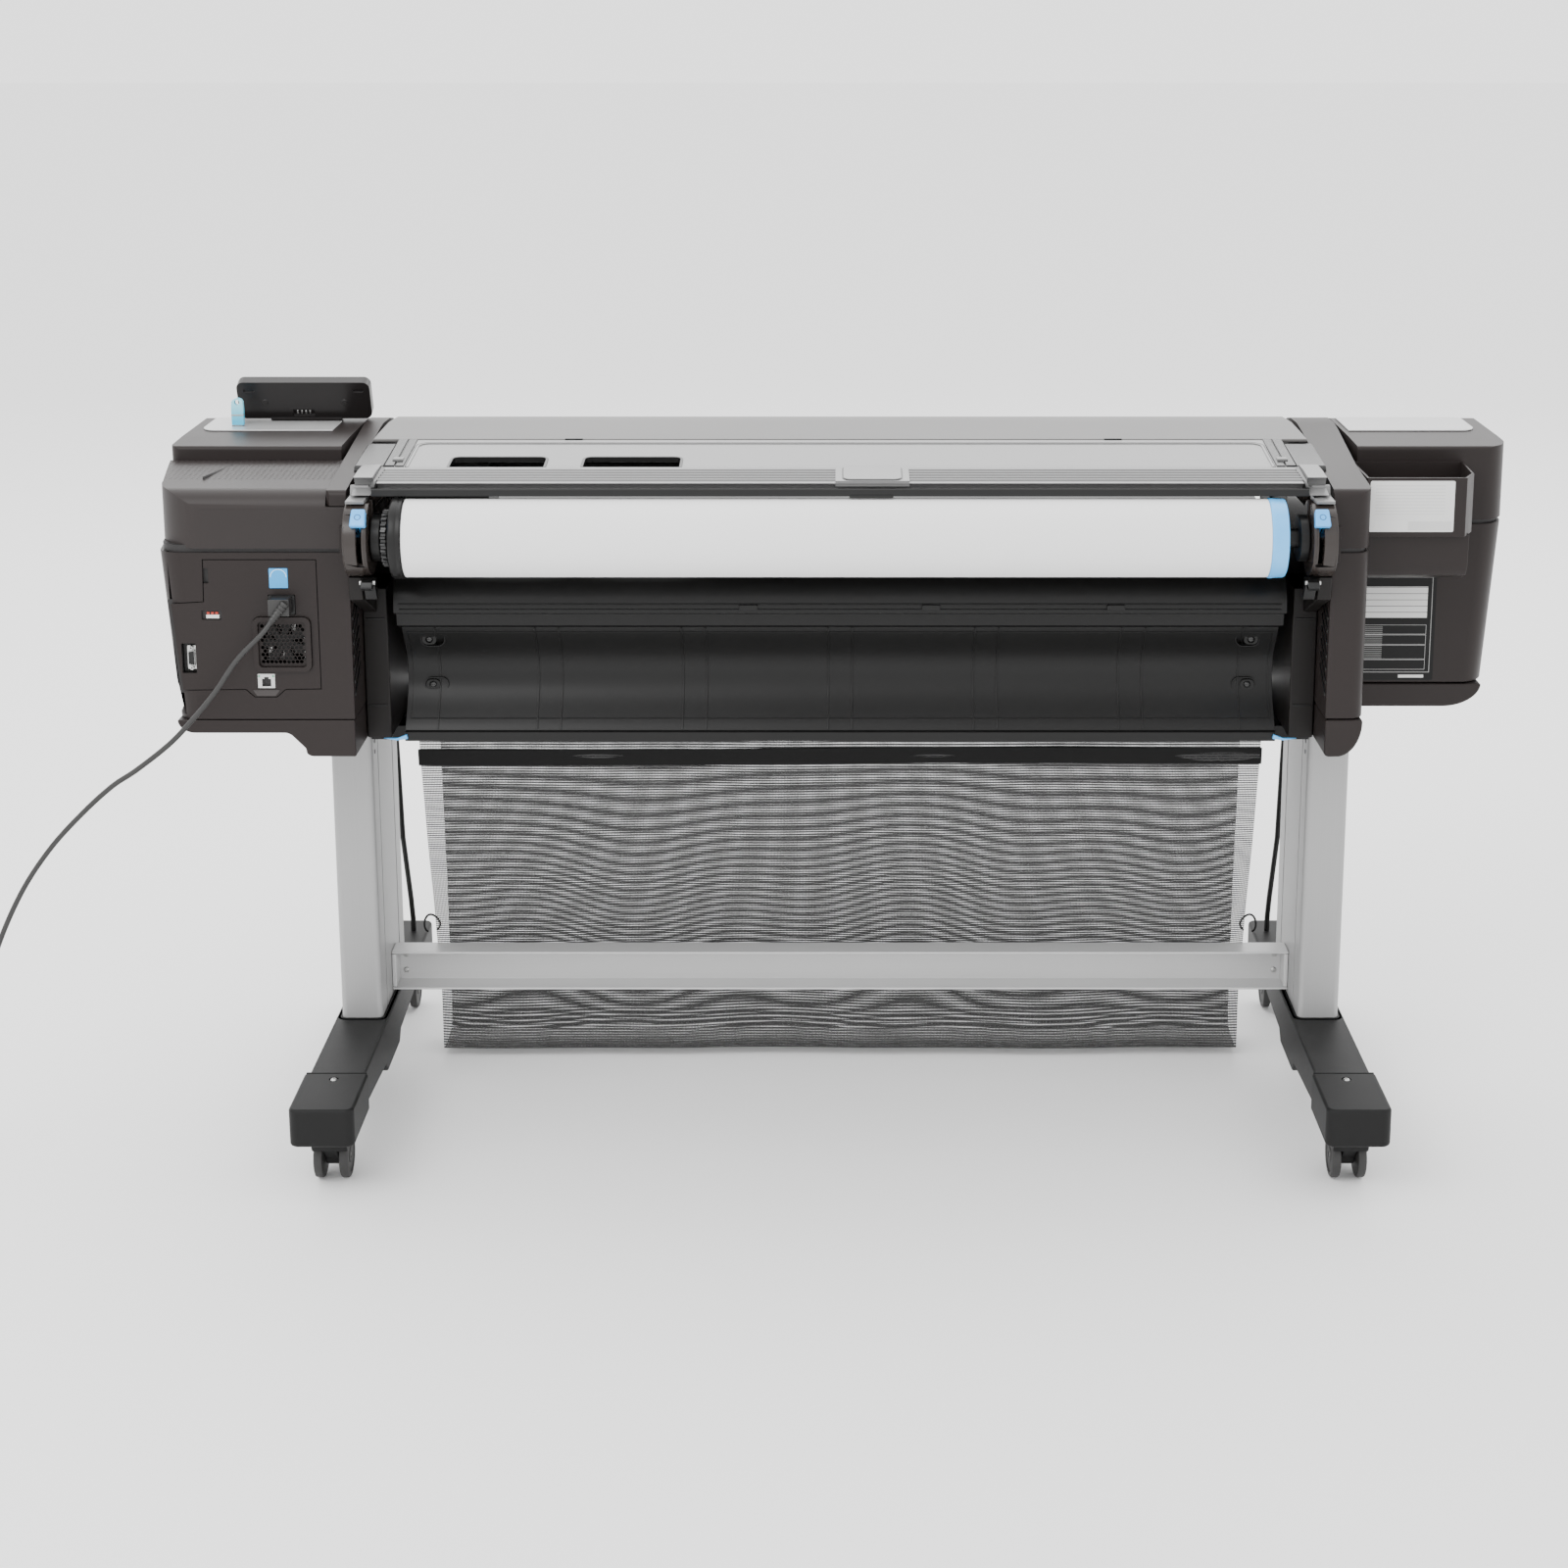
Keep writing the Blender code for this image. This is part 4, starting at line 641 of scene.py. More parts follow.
FRONT_SLOPE = [(0.060, TOP), (0.205, TOP), (0.235, 0.9310), (0.262, 0.9165), (0.280, 0.896), (0.2870, 0.874),
               (BODY_FRONT, 0.850), (BODY_FRONT, UPPER_SEAM + 0.002)]
top_line = [(BOX_REAR, UPPER_SEAM + 0.002), (BOX_REAR, 0.9290)]
top_line += arc((BOX_REAR + 0.006, 0.9290), (0.006, 0.0055), 180, 90, 5) + FRONT_SLOPE
left_top_plan = [(-0.6708, BOX_REAR)]
left_top_plan += arc((-HALF_WIDTH + 0.014, BOX_REAR + 0.014), (0.014, 0.014), 270, 180, 8)
left_top_plan += arc((-HALF_WIDTH + 0.055, BODY_FRONT - 0.055), (0.055, 0.055), 180, 90, 10)
left_top_plan += [(-0.6708, BODY_FRONT)]
left_top = crowned("electronics_top_cover", top_line, -HALF_WIDTH, -0.6708, left_top_plan)
fit(eased(left_top, 0.0030), housing, replaces=("left_top_cover",))

right_top_plan = [(0.6960, BOX_REAR)]
right_top_plan += arc((HALF_WIDTH - 0.034, BOX_REAR + 0.044), (0.034, 0.044), 270, 360, 12)
right_top_plan += arc((HALF_WIDTH - 0.055, BODY_FRONT - 0.055), (0.055, 0.055), 0, 90, 10)
right_top_plan += [(0.6960, BODY_FRONT)]
right_top = crowned("ink_top_cover", top_line, 0.6960, HALF_WIDTH, right_top_plan)
fit(eased(right_top, 0.0050, 4), housing, replaces=("right_top_cover",))


def mirrored(side, one, other):
    """The two places along X between which a piece lies on one side, the lower first."""
    return sorted((side * one, side * other))


# A small catch bridges the groove on each side of the roll bay.
for side in (-1, 1):
    low, high = mirrored(side, 0.6338, 0.6436)
    side_catch = slab("side_catch", "rear", rounded((low, 0.8160), (high, 0.8640), 0.0015, 3),
                      TOWER_REAR - 0.0022,
                      TOWER_REAR + 0.0020)
    fit(eased(side_catch, 0.0008, 2), housing)

# The two arms run from front to rear beside the roll bay and end in a rounded nose.
ARM_TOP = [(0.150, 0.9390), (0.205, 0.9370), (0.235, 0.9315), (0.262, 0.9170), (0.280, 0.896),
           (0.2870, 0.874),
           (BODY_FRONT, 0.850), (BODY_FRONT, UPPER_SEAM + 0.002)]
left_arm_line = [(TOWER_REAR, 0.8898), (TOWER_REAR, 0.9020)]
left_arm_line += arc((TOWER_REAR + 0.008, 0.9020), (0.008, 0.0080), 180, 95, 6)
left_arm_line += ARM_TOP + [(BOX_REAR + 0.001, UPPER_SEAM + 0.002), (BOX_REAR + 0.001, 0.8898)]
left_arm_plan = [(-BAY_HALF, TOWER_REAR), (-0.6540, TOWER_REAR), (-0.6595, TOWER_REAR + 0.006),
                 (-0.6660, 0.120),
                 (-0.6698, BODY_FRONT), (-0.6400, BODY_FRONT), (-0.6400, 0.120)]
left_arm = crowned("left_arm_shell", left_arm_line, -0.70, -0.60, left_arm_plan)
fit(eased(left_arm, 0.0035, 4), housing, replaces=("left_arm_cover",))

right_arm_line = [(TOWER_REAR, UPPER_SEAM + 0.002), (TOWER_REAR, 0.8990)]
right_arm_line += arc((TOWER_REAR + 0.012, 0.8990), (0.012, 0.0120), 180, 95, 8) + ARM_TOP
right_arm_plan = [(BAY_HALF, TOWER_REAR)]
right_arm_plan += arc((TOWER_OUT - 0.018, TOWER_REAR + 0.018), (0.018, 0.018), 270, 360, 10)
right_arm_plan += [(TOWER_OUT, BOX_REAR - 0.06), (0.6920, 0.120), (0.6950, BODY_FRONT), (0.6400, BODY_FRONT),
                   (0.6400, 0.120)]
right_arm = crowned("right_arm_shell", right_arm_line, 0.60, 0.75, right_arm_plan)
fit(eased(right_arm, 0.0045, 4), housing, replaces=("right_arm_cover",))


# ------------------------------------------------------------------ silver inlays
# Satin silver strips, 2 mm thick, set into both top covers; the left one leaves room for the panel's foot.
silver = Finish("silver_inlay")
flake = silver.place.noise(3500.0, 1.0)
silver_clouds = silver.place.noise(8.0, 2.0)
silver.set(
    base_color=silver_clouds.blend(colour(0.42, 0.42, 0.42), colour(0.50, 0.50, 0.50)),
    metallic=0.35,
    roughness=0.30 + flake * 0.10,
    coat_weight=0.3,
)
left_inlay_line = [(-0.702, 0.097)] + arc((-0.865, 0.1235), (0.0200, 0.0265), 270, 180, 12)
left_inlay_line += arc((-0.865, 0.190), (0.0200, 0.010), 180, 90, 8) + [(-0.702, 0.200)]
left_inlay = slab("left_silver_strip", "plan", left_inlay_line, TOP + 0.0003, TOP + 0.0022)
carve(left_inlay, "DIFFERENCE", block("panel_seat", (-0.8500, 0.170, 0.92), (-0.690, 0.21, 0.95)),
      block("stick_hole", (-0.8480, 0.1275, 0.92), (-0.8310, 0.1365, 0.95)))
fit(eased(left_inlay, 0.0006, 2), silver.material, replaces=("left_inlay",))
right_inlay_line = [(0.703, 0.200), (0.703, 0.097)] + arc((0.860, 0.1235), (0.0200, 0.0265), 270, 360, 12)
right_inlay_line += arc((0.860, 0.190), (0.0200, 0.010), 0, 90, 8)
right_inlay = slab("right_silver_strip", "plan", right_inlay_line, TOP + 0.0003, TOP + 0.0022)
fit(eased(right_inlay, 0.0006, 2), silver.material, replaces=("right_inlay",))


# ------------------------------------------------------------------ connector plate
# One moulded plate carries every socket: fan grille, mains inlet, serial and network ports, and two small
# slots.
FAN_X, FAN_Z, FAN_HALF = -0.7229, 0.7072, 0.0380
INLET_LOW, INLET_HIGH = (-0.7394, 0.7464), (-0.7039, 0.7730)
SERIAL_LOW, SERIAL_HIGH = (-0.8545, 0.6680), (-0.8360, 0.7080)
NETWORK_LOW, NETWORK_HIGH = (-0.7584, 0.6470), (-0.7343, 0.6678)
SLOT_LOW, SLOT_HIGH = (-0.8232, 0.7880), (-0.8150, 0.8080)
LIGHTS_LOW, LIGHTS_HIGH = (-0.8260, 0.7395), (-0.8000, 0.7520)


def drawn_in(outline, distance):
    """An outline moved square to its sides: outwards by a distance, or inwards where it is negative."""
    count, inner = len(outline), []
    for i in range(count):
        before, here, after = (Vector(outline[(i + k) % count]) for k in (-1, 0, 1))
        first, second = (here - before).normalized(), (after - here).normalized()
        normals = [Vector((v.y, -v.x)) for v in (first, second)]
        middle = (normals[0] + normals[1]).normalized()
        inner.append(tuple(here + middle * distance / max(0.3, middle.dot(normals[0]))))
    return inner


windows = [rounded((FAN_X - FAN_HALF, FAN_Z - FAN_HALF + 0.001), (FAN_X + FAN_HALF, FAN_Z + FAN_HALF - 0.001),
                   0.010, 8)]
for low, high in ((INLET_LOW, INLET_HIGH), (SERIAL_LOW, SERIAL_HIGH), (NETWORK_LOW, NETWORK_HIGH),
                  (LIGHTS_LOW, LIGHTS_HIGH)):
    windows.append(rounded(low, high, 0.0010, 3))
plate = slab("socket_plate", "rear", drawn_in(PLATE_OUTLINE, -0.0011), TOWER_REAR + 0.0002,
             TOWER_REAR + 0.0032, windows)
carve(plate, "DIFFERENCE",
      slab("slot_cut", "rear", rounded(SLOT_LOW, SLOT_HIGH, 0.001, 3), TOWER_REAR - 0.01, TOWER_REAR + 0.01))
fit(eased(plate, 0.0005, 2), housing, replaces=("connector_plate",))
# A near-black sheet behind the plate, seen in the gap round it and behind its smaller openings: painted
# shade.
gap_shade_sheet = slab("plate_gap_shade", "rear", drawn_in(PLATE_OUTLINE, 0.004), TOWER_REAR + 0.0055,
               TOWER_REAR + 0.0065,
               [windows[0], windows[1], windows[2]])
fit(gap_shade_sheet, gap_shade.material)

# The grille: a raised frame with two steps, and a plate of hexagonal holes a few millimetres across.
outer = rounded((FAN_X - FAN_HALF + 0.0006, FAN_Z - FAN_HALF + 0.0016),
                (FAN_X + FAN_HALF - 0.0006, FAN_Z + FAN_HALF - 0.0016), 0.0095, 8)
inner = rounded((FAN_X - 0.0310, FAN_Z - 0.0305), (FAN_X + 0.0310, FAN_Z + 0.0305), 0.0050, 6)
frame_ring = slab("grille_frame", "rear", outer, TOWER_REAR - 0.0035, TOWER_REAR + 0.003, [inner])
fit(eased(frame_ring, 0.0016, 3), housing, replaces=("fan_grille",))
holes = []
HOLE, HOLE_PITCH = 0.0027, 0.0055
for row in range(-6, 7):
    for column in range(-6, 7):
        place = (FAN_X + (column + 0.5 * (row % 2)) * HOLE_PITCH - 0.0012, FAN_Z + row * HOLE_PITCH * 0.866)
        if abs(place[0] - FAN_X) < 0.0285 and abs(place[1] - FAN_Z) < 0.0285:
            holes.append(arc(place, (HOLE, HOLE), 30, 330, 5))
net = slab("grille_net", "rear", drawn_in(inner, -0.0002), TOWER_REAR + 0.0010, TOWER_REAR + 0.0026, holes)
fit(net, housing)

black_nylon = moulded("black_nylon", colour(0.010, 0.010, 0.010), 0.42, grain=0.0009, shine=0.25)
blades = []
for blade in range(7):
    start = 360 * blade / 7
    blades += arc((FAN_X, FAN_Z), (0.012, 0.012), start, start + 12, 2)
    blades += arc((FAN_X, FAN_Z), (0.0285, 0.0285), start + 14, start + 44, 8)
rotor = slab("fan_blades", "rear", blades, TOWER_REAR + 0.010, TOWER_REAR + 0.024)
fit(eased(rotor, 0.0008, 2), black_nylon, "fan", ("fan_rotor",))
steel = Finish("zinc_steel")
steel_marks = steel.place.noise(700.0, 3.0)
steel.set(base_color=steel_marks.blend(colour(0.40, 0.40, 0.40), colour(0.62, 0.62, 0.60)), metallic=1.0,
          roughness=0.25 + steel_marks * 0.2)
for column in range(4):
    bar = block("fan_guard_bar", (FAN_X - 0.0245 + 0.0155 * column, TOWER_REAR + 0.0270, FAN_Z - 0.029),
                (FAN_X - 0.0185 + 0.0155 * column, TOWER_REAR + 0.0285, FAN_Z + 0.029))
    fit(eased(bar, 0.0004, 1), steel.material)

# Mains inlet: a black shrouded socket with its three blades hidden by the plug.

def inset(low, high, margin, radius, steps):
    """A rectangle's outline with round corners, drawn a margin inside it."""
    return rounded((low[0] + margin, low[1] + margin), (high[0] - margin, high[1] - margin), radius, steps)


inlet_line = inset(INLET_LOW, INLET_HIGH, 0.0006, 0.002, 4)
mouth = rounded((-0.7352, 0.7502), (-0.7084, 0.7693), 0.003, 4)
inlet = slab("mains_inlet", "rear", inlet_line, TOWER_REAR - 0.0012, TOWER_REAR + 0.028, [mouth])
fit(eased(inlet, 0.0006, 2), black_nylon, replaces=("power_inlet",))
inlet_floor = slab("mains_inlet_floor", "rear", mouth, TOWER_REAR + 0.0215, TOWER_REAR + 0.0275)
fit(inlet_floor, black_nylon)

# Serial port: a tinned D-shaped shell with two hexagonal jack posts, upright in its recess.
shroud_line = inset(SERIAL_LOW, SERIAL_HIGH, 0.0004, 0.001, 3)
# The well's floor is a near-black sheet: painted shade in the recess.
well = slab("serial_well", "rear", shroud_line, TOWER_REAR + 0.0105, TOWER_REAR + 0.0114)
fit(well, gap_shade.material)
middle_x, middle_z = -0.8425, 0.6880
d_line = [(middle_x - 0.0042, middle_z - 0.0085), (middle_x + 0.0042, middle_z - 0.0105),
          (middle_x + 0.0042, middle_z + 0.0105), (middle_x - 0.0042, middle_z + 0.0085)]
flange_line = rounded((middle_x - 0.0062, middle_z - 0.0160), (middle_x + 0.0062, middle_z + 0.0160), 0.0015,
                      3)
flange = slab("serial_flange", "rear", flange_line, TOWER_REAR + 0.0070, TOWER_REAR + 0.0080)
shell = slab("serial_shell", "rear", d_line, TOWER_REAR + 0.0015, TOWER_REAR + 0.0072,
             [drawn_in(d_line, -0.0006)])
core = slab("serial_insert", "rear", drawn_in(d_line, -0.0010), TOWER_REAR + 0.0025, TOWER_REAR + 0.0069)
fit(eased(flange, 0.0003, 1), steel.material, replaces=("port_board",))
fit(eased(shell, 0.0002, 1), steel.material)
fit(core, black_nylon)
for end in (-1, 1):
    hexagon = arc((middle_x, middle_z + end * 0.0134), (0.0027, 0.0027), 0, 300, 5)
    post = slab("serial_jack_post", "rear", hexagon, TOWER_REAR + 0.0015, TOWER_REAR + 0.0069,
                [arc((middle_x, middle_z + end * 0.0134), (0.0012, 0.0012), 0, 324, 9)])
    fit(eased(post, 0.0002, 1), steel.material)

# Network port: a shielded socket with a stepped mouth, two small lamps, and a scoop under it for a finger.
can_mouth = [(-0.7520, 0.6500), (-0.7405, 0.6500), (-0.7405, 0.6600), (-0.7435, 0.6600), (-0.7435, 0.6625),
             (-0.7490, 0.6625), (-0.7490, 0.6600), (-0.7520, 0.6600)]
can = slab("network_can", "rear", inset(NETWORK_LOW, NETWORK_HIGH, 0.0006, 0.0006, 2),
           TOWER_REAR + 0.0008, TOWER_REAR + 0.0100, [can_mouth])
fit(eased(can, 0.0003, 1), steel.material)
# The can's floor is a near-black sheet: painted shade inside the socket.
can_floor = block("network_floor", (-0.7530, TOWER_REAR + 0.0085, 0.6490),
                  (-0.7395, TOWER_REAR + 0.0095, 0.6635))
fit(can_floor, gap_shade.material)
leaf_green = Finish("lamp_green")
leaf_green.set(base_color=colour(0.05, 0.30, 0.16), roughness=0.3 + leaf_green.place.noise(900.0) * 0.1)
for x in (-0.7556, -0.7374):
    lamp = block("network_lamp", (x - 0.0012, TOWER_REAR + 0.0002, 0.6628),
                 (x + 0.0012, TOWER_REAR + 0.0010, 0.6650))
    fit(eased(lamp, 0.0002, 1), leaf_green.material)
# The scoop is the housing plastic painted lighter: painted light on its floor.
scoop = slab("network_scoop", "rear",
             [(-0.7640, 0.6455), (-0.7590, 0.6375), (-0.7350, 0.6375), (-0.7290, 0.6455)],
             TOWER_REAR - 0.0004, TOWER_REAR + 0.0001)
fit(scoop, moulded("scoop_plastic", tinted(WARM_GREY, 0.35), 0.5))

# A row of three red switches on a white strip, and a plain light-blue sticker.
strip_white = Finish("strip_white")
strip_tone = strip_white.place.noise(500.0)
strip_white.set(base_color=strip_tone.blend(colour(0.62, 0.62, 0.60), colour(0.70, 0.70, 0.68)),
                roughness=0.5)
# A near-black pocket behind the strip: painted shade in its recess.
pocket = block("switch_pocket", (LIGHTS_LOW[0], TOWER_REAR + 0.0033, LIGHTS_LOW[1]),
               (LIGHTS_HIGH[0], TOWER_REAR + 0.0043, LIGHTS_HIGH[1]))
fit(pocket, gap_shade.material)
strip = block("switch_strip", (-0.8205, TOWER_REAR + 0.0016, 0.7412), (-0.8035, TOWER_REAR + 0.0032, 0.7460))
fit(eased(strip, 0.0003, 1), strip_white.material)
signal_red = Finish("switch_red")
signal_red.set(base_color=colour(0.42, 0.03, 0.015), roughness=0.35 + signal_red.place.noise(900.0) * 0.1)
for i in range(3):
    switch = block("red_switch", (-0.8195 + 0.0055 * i, TOWER_REAR + 0.0014, 0.7468),
                   (-0.8160 + 0.0055 * i, TOWER_REAR + 0.0032, 0.7496))
    fit(eased(switch, 0.0003, 1), signal_red.material)
sticker_blue = Finish("sticker_blue")
inside = sticker_blue.place.stretched(1.0, 0.0, 1.0)
from_middle = inside.node("ShaderNodeVectorMath", {"operation": "DISTANCE"},
                          {0: inside, 1: (-0.7245, 0.0, 0.7965)}, "Value")
arc_band = (from_middle > 0.0098) * (from_middle < 0.0106) * (inside.along("Z") > 0.7965)
sticker_blue.set(base_color=arc_band.blend(colour(0.02, 0.30, 0.66), colour(0.60, 0.78, 0.90)),
                 roughness=0.32 + sticker_blue.place.noise(200.0) * 0.08)
sticker = slab("plain_sticker", "rear", rounded((-0.7365, 0.7820), (-0.7125, 0.8080), 0.0006, 2),
               TOWER_REAR - 0.0002, TOWER_REAR + 0.0001)
fit(sticker, sticker_blue.material)


# ------------------------------------------------------------------ window
# A grey, half-clear lid over the paper path, hinged behind the roll cover. A raised line runs round its
# pane, and two slots let the fingers guide the paper. Its glossy ends carry the hinges.
SMOKE = colour(0.150, 0.150, 0.150)
smoked = Finish("smoked_window")
streaks = smoked.place.stretched(0.6, 18.0, 6.0).noise(1.0, 2.0)
scuffs = smoked.place.noise(240.0, 3.0, 0.7)
smoked.set(
    base_color=(streaks * 0.8 + scuffs * 0.2).blend(tinted(SMOKE, -0.16), tinted(SMOKE, 0.18)),
    roughness=0.26 + scuffs * 0.10,
    specular_ior_level=0.35,
    coat_weight=0.10,
    normal=streaks.bump(0.0001, 0.25),
)
WINDOW_REAR, WINDOW_FRONT = (-0.1065, 0.9245), (0.0225, 0.9375)


def window_top(y):
    """The height of the window's sloping top."""
    share = (y - WINDOW_REAR[0]) / (WINDOW_FRONT[0] - WINDOW_REAR[0])
    return WINDOW_REAR[1] + share * (WINDOW_FRONT[1] - WINDOW_REAR[1])


def on_window(name, outline, rise, holes=(), depth=0.002):
    """A low relief on the window: an outline from above, lying along the slope."""
    made = slab(name, "plan", outline, 0.90, 0.96, holes)
    rear, front = WINDOW_REAR[0] + 0.0004, WINDOW_FRONT[0]
    band = [(rear, window_top(rear) - depth), (rear, window_top(rear) + rise),
            (front, window_top(front) + rise),
            (front, window_top(front) - depth)]
    return carve(made, "INTERSECT", slab("relief_band", "side", band, -0.7, 0.7))


pane = slab("window_pane", "side",
            [(WINDOW_REAR[0], 0.9170), WINDOW_REAR, WINDOW_FRONT, (WINDOW_FRONT[0], 0.9300)],
            -0.598, 0.598)
SLOT_ENDS = ((-0.515, -0.386), (-0.340, -0.208))
slots = [rounded((low, -0.125), (high, -0.058), 0.012, 6) for low, high in SLOT_ENDS]
for slot_line in slots:
    carve(pane, "DIFFERENCE", slab("slot_cut", "plan", slot_line, 0.90, 0.95))
fit(eased(pane, 0.0012), smoked.material, "window", ("window_cover",))
slot_black = moulded("slot_rim_plastic", colour(0.006, 0.006, 0.006), 0.30, shine=0.3)
gloss_grey = moulded("window_end_plastic", colour(0.022, 0.022, 0.022), 0.20, uneven=0.2, shine=0.16)
for slot_line in slots:
    rim = on_window("slot_rim", drawn_in(slot_line, -0.0028), 0.0006, [drawn_in(slot_line, 0.0004)], 0.0060)
    fit(smooth(rim), slot_black, "window")
border_line = rounded((-0.5660, -0.1400), (0.5660, 0.0030), 0.014, 6)
for width, rise, finish_of_line in ((0.0030, 0.0012, smoked.material), (0.0012, 0.0014, slot_black)):
    border = on_window("pane_border", border_line, rise, [drawn_in(border_line, width)])
    fit(smooth(border), finish_of_line, "window")
    border_line = drawn_in(border_line, width + 0.0003)
for side in (-1, 1):
    for inner_x, outer_x, rise in ((0.5720, 0.5835, 0.0018), (0.5845, 0.5975, 0.0024)):
        low, high = mirrored(side, inner_x, outer_x)
        frame_end = on_window("window_end_frame",
                              [(low, -0.1055), (high, -0.1055), (high, 0.0220), (low, 0.0220)], rise)
        fit(eased(frame_end, 0.0015), gloss_grey, "window")
    low, high = mirrored(side, 0.6000, 0.6385)
    hinge_cover = slab("window_hinge_cover", "side",
                       [(-0.1000, 0.9050), (-0.1000, 0.9200), (-0.0940, 0.9245), (0.0100, 0.9340),
                        (0.0215, 0.9330),
                        (0.0215, 0.9050)], low, high)
    fit(eased(hinge_cover, 0.0020), gloss_grey)
    low, high = mirrored(side, 0.5760, 0.5900)
    catch = block("window_catch", (low, -0.0840, 0.9250), (high, -0.0690, 0.9315))
    fit(eased(catch, 0.0012), smoked.material, "window")


# ------------------------------------------------------------------ roll cover
# A grey lid with five low ribs that swings up off the paper roll. A pad in its middle shows where to lift
# it, and a black soft lip closes it against the roll's opening.
lid_line = [(-0.1100, 0.9150), (-0.1100, 0.9255), (-0.1180, 0.9262)]
for rib in range(5):
    y = -0.1260 - rib * 0.0118
    fall = (y + 0.110) * 0.085
    lid_line += [(y + 0.0004, 0.9262 + fall), (y - 0.0004, 0.9276 + fall), (y - 0.0016, 0.9281 + fall),
                 (y - 0.0046, 0.9280 + fall), (y - 0.0056, 0.9274 + fall), (y - 0.0062, 0.9262 + fall)]
lid_line += [(-0.1885, 0.9196)] + arc((-0.1905, 0.9085), (0.0115, 0.0105), 80, 8, 8)
lid_line += [(-0.2020, 0.9060), (-0.1985, 0.9055), (-0.1960, 0.9105)]
lid = slab("ribbed_roll_cover", "side", lid_line, -0.600, 0.600)
PAD = ((0.000, -0.1870), (0.083, -0.1195))
pad_flat = slab("pad_flat", "side",
                [(-0.1195, 0.9200), (-0.1195, 0.9280), (-0.1870, 0.9222), (-0.1870, 0.9150)],
                PAD[0][0] - 0.006, PAD[1][0] + 0.006)
carve(lid, "UNION", pad_flat)
fit(eased(lid, 0.0005, 2, 24), smoked.material, "roll_lid", ("roll_cover",))


def on_lid(name, outline, rise, holes=()):
    made = slab(name, "plan", outline, 0.90, 0.96, holes)
    band = [(-0.1195, 0.9250), (-0.1195, 0.9280 + rise), (-0.1870, 0.9222 + rise), (-0.1870, 0.9190)]
    return carve(made, "INTERSECT", slab("relief_band", "side", band, -0.7, 0.7))


pad_line = rounded((PAD[0][0] + 0.004, PAD[0][1] + 0.004), (PAD[1][0] - 0.004, PAD[1][1] - 0.002), 0.010, 6)
fit(eased(on_lid("lift_pad", pad_line, 0.0016), 0.0008, 2), smoked.material, "roll_lid")
groove_line = drawn_in(pad_line, 0.0016)
fit(smooth(on_lid("lift_pad_groove", groove_line, 0.0004, [drawn_in(pad_line, 0.0001)])), slot_black,
    "roll_lid")
lip_line = [(-0.2024, 0.9050), (-0.2024, 0.9135), (-0.2008, 0.9148), (-0.1990, 0.9120), (-0.1975, 0.9050)]
fit(eased(slab("roll_cover_lip", "side", lip_line, -0.5985, 0.5985), 0.0005, 2), slot_black, "roll_lid")
finger_lip = slab("finger_lip", "side",
                  [(-0.2036, 0.9030), (-0.2036, 0.9065), (-0.2015, 0.9075), (-0.1990, 0.9030)],
                  0.012, 0.068)
fit(eased(finger_lip, 0.0006, 2), slot_black, "roll_lid")

# Each end has a moulded cap: a rounded shell over the hinge, with a folded edge, that overlaps the arm.
for side in (-1, 1):
    cap_line = [(-0.1120, 0.9125), (-0.1120, 0.9295), (-0.1500, 0.9292), (-0.1830, 0.9268)]
    cap_line += arc((-0.1890, 0.9130), (0.0145, 0.0135), 75, 5, 8) + [(-0.2035, 0.9065), (-0.1960, 0.9065)]
    low, high = mirrored(side, 0.5992, 0.6240)
    cap = slab("roll_cover_cap", "side", cap_line, low, high)
    fit(eased(cap, 0.0028, 4), smoked.material, "roll_lid")
    fold = slab("roll_cover_fold", "plan",
                [(side * 0.5985, -0.1150), (side * 0.5920, -0.1260), (side * 0.5945, -0.1990),
                 (side * 0.5990, -0.2000)],
                0.900, 0.960)
    band = slab("fold_band", "side",
                [(-0.1120, 0.9100), (-0.1120, 0.9284), (-0.1880, 0.9222), (-0.2020, 0.9150),
                                      (-0.2020, 0.9070)], -0.7, 0.7)
    carve(fold, "INTERSECT", band)
    fit(eased(fold, 0.0008, 2), slot_black, "roll_lid")


# ------------------------------------------------------------------ front covers
# The long cover in front of the window is a grey moulding, curved over the print beam, and the lower one
# closes the machine's front. Both are ABS, clipped between the arms.
bright_housing = moulded("front_cover_plastic", colour(0.085, 0.082, 0.080), 0.36, uneven=0.08, shine=0.35)
front_line = [(0.0245, 0.9340), (0.0245, 0.9372), (0.0262, 0.9384), (0.0600, 0.9395), (0.1500, 0.9400)]
front_line += [(0.2050, 0.9362)]
front_line += arc((0.2120, 0.8600), (0.0780, 0.0760), 85, 0, 12)[1:]
front_line += [(BODY_FRONT, 0.8500), (BODY_FRONT - 0.004, 0.8500)]
front_line += arc((0.2120, 0.8600), (0.0740, 0.0720), 0, 85, 12)
front_line += [(0.2050, 0.9320), (0.1500, 0.9360)]
front_top = slab("front_upper_cover", "side", front_line, -BAY_HALF, BAY_HALF)
fit(eased(front_top, 0.0009, 2, 40), bright_housing, replaces=("front_top_cover",))
for x in (-0.361, 0.370):
    tab = block("window_latch_tab", (x - 0.012, 0.0236, 0.9330), (x + 0.012, 0.0300, 0.9392))
    fit(eased(tab, 0.0008, 2), slot_black)
lower_line = [(0.2600, 0.8000), (0.3000, 0.8000)] + arc((0.3000, 0.7960), (0.0040, 0.0040), 90, 0, 4)
lower_line += [(0.3040, 0.7900), (0.3030, 0.7000), (0.3000, 0.6500)]
lower_line += arc((0.2320, 0.6250), (0.0620, 0.0690), -5, -80, 12)
lower_line += [(0.2100, 0.5560), (0.2100, 0.5600)] + arc((0.2320, 0.6250), (0.0580, 0.0650), -80, -5, 12)
lower_line += [(0.2960, 0.6505), (0.2990, 0.7000), (0.3000, 0.7890), (0.2960, 0.7960), (0.2600, 0.7960)]
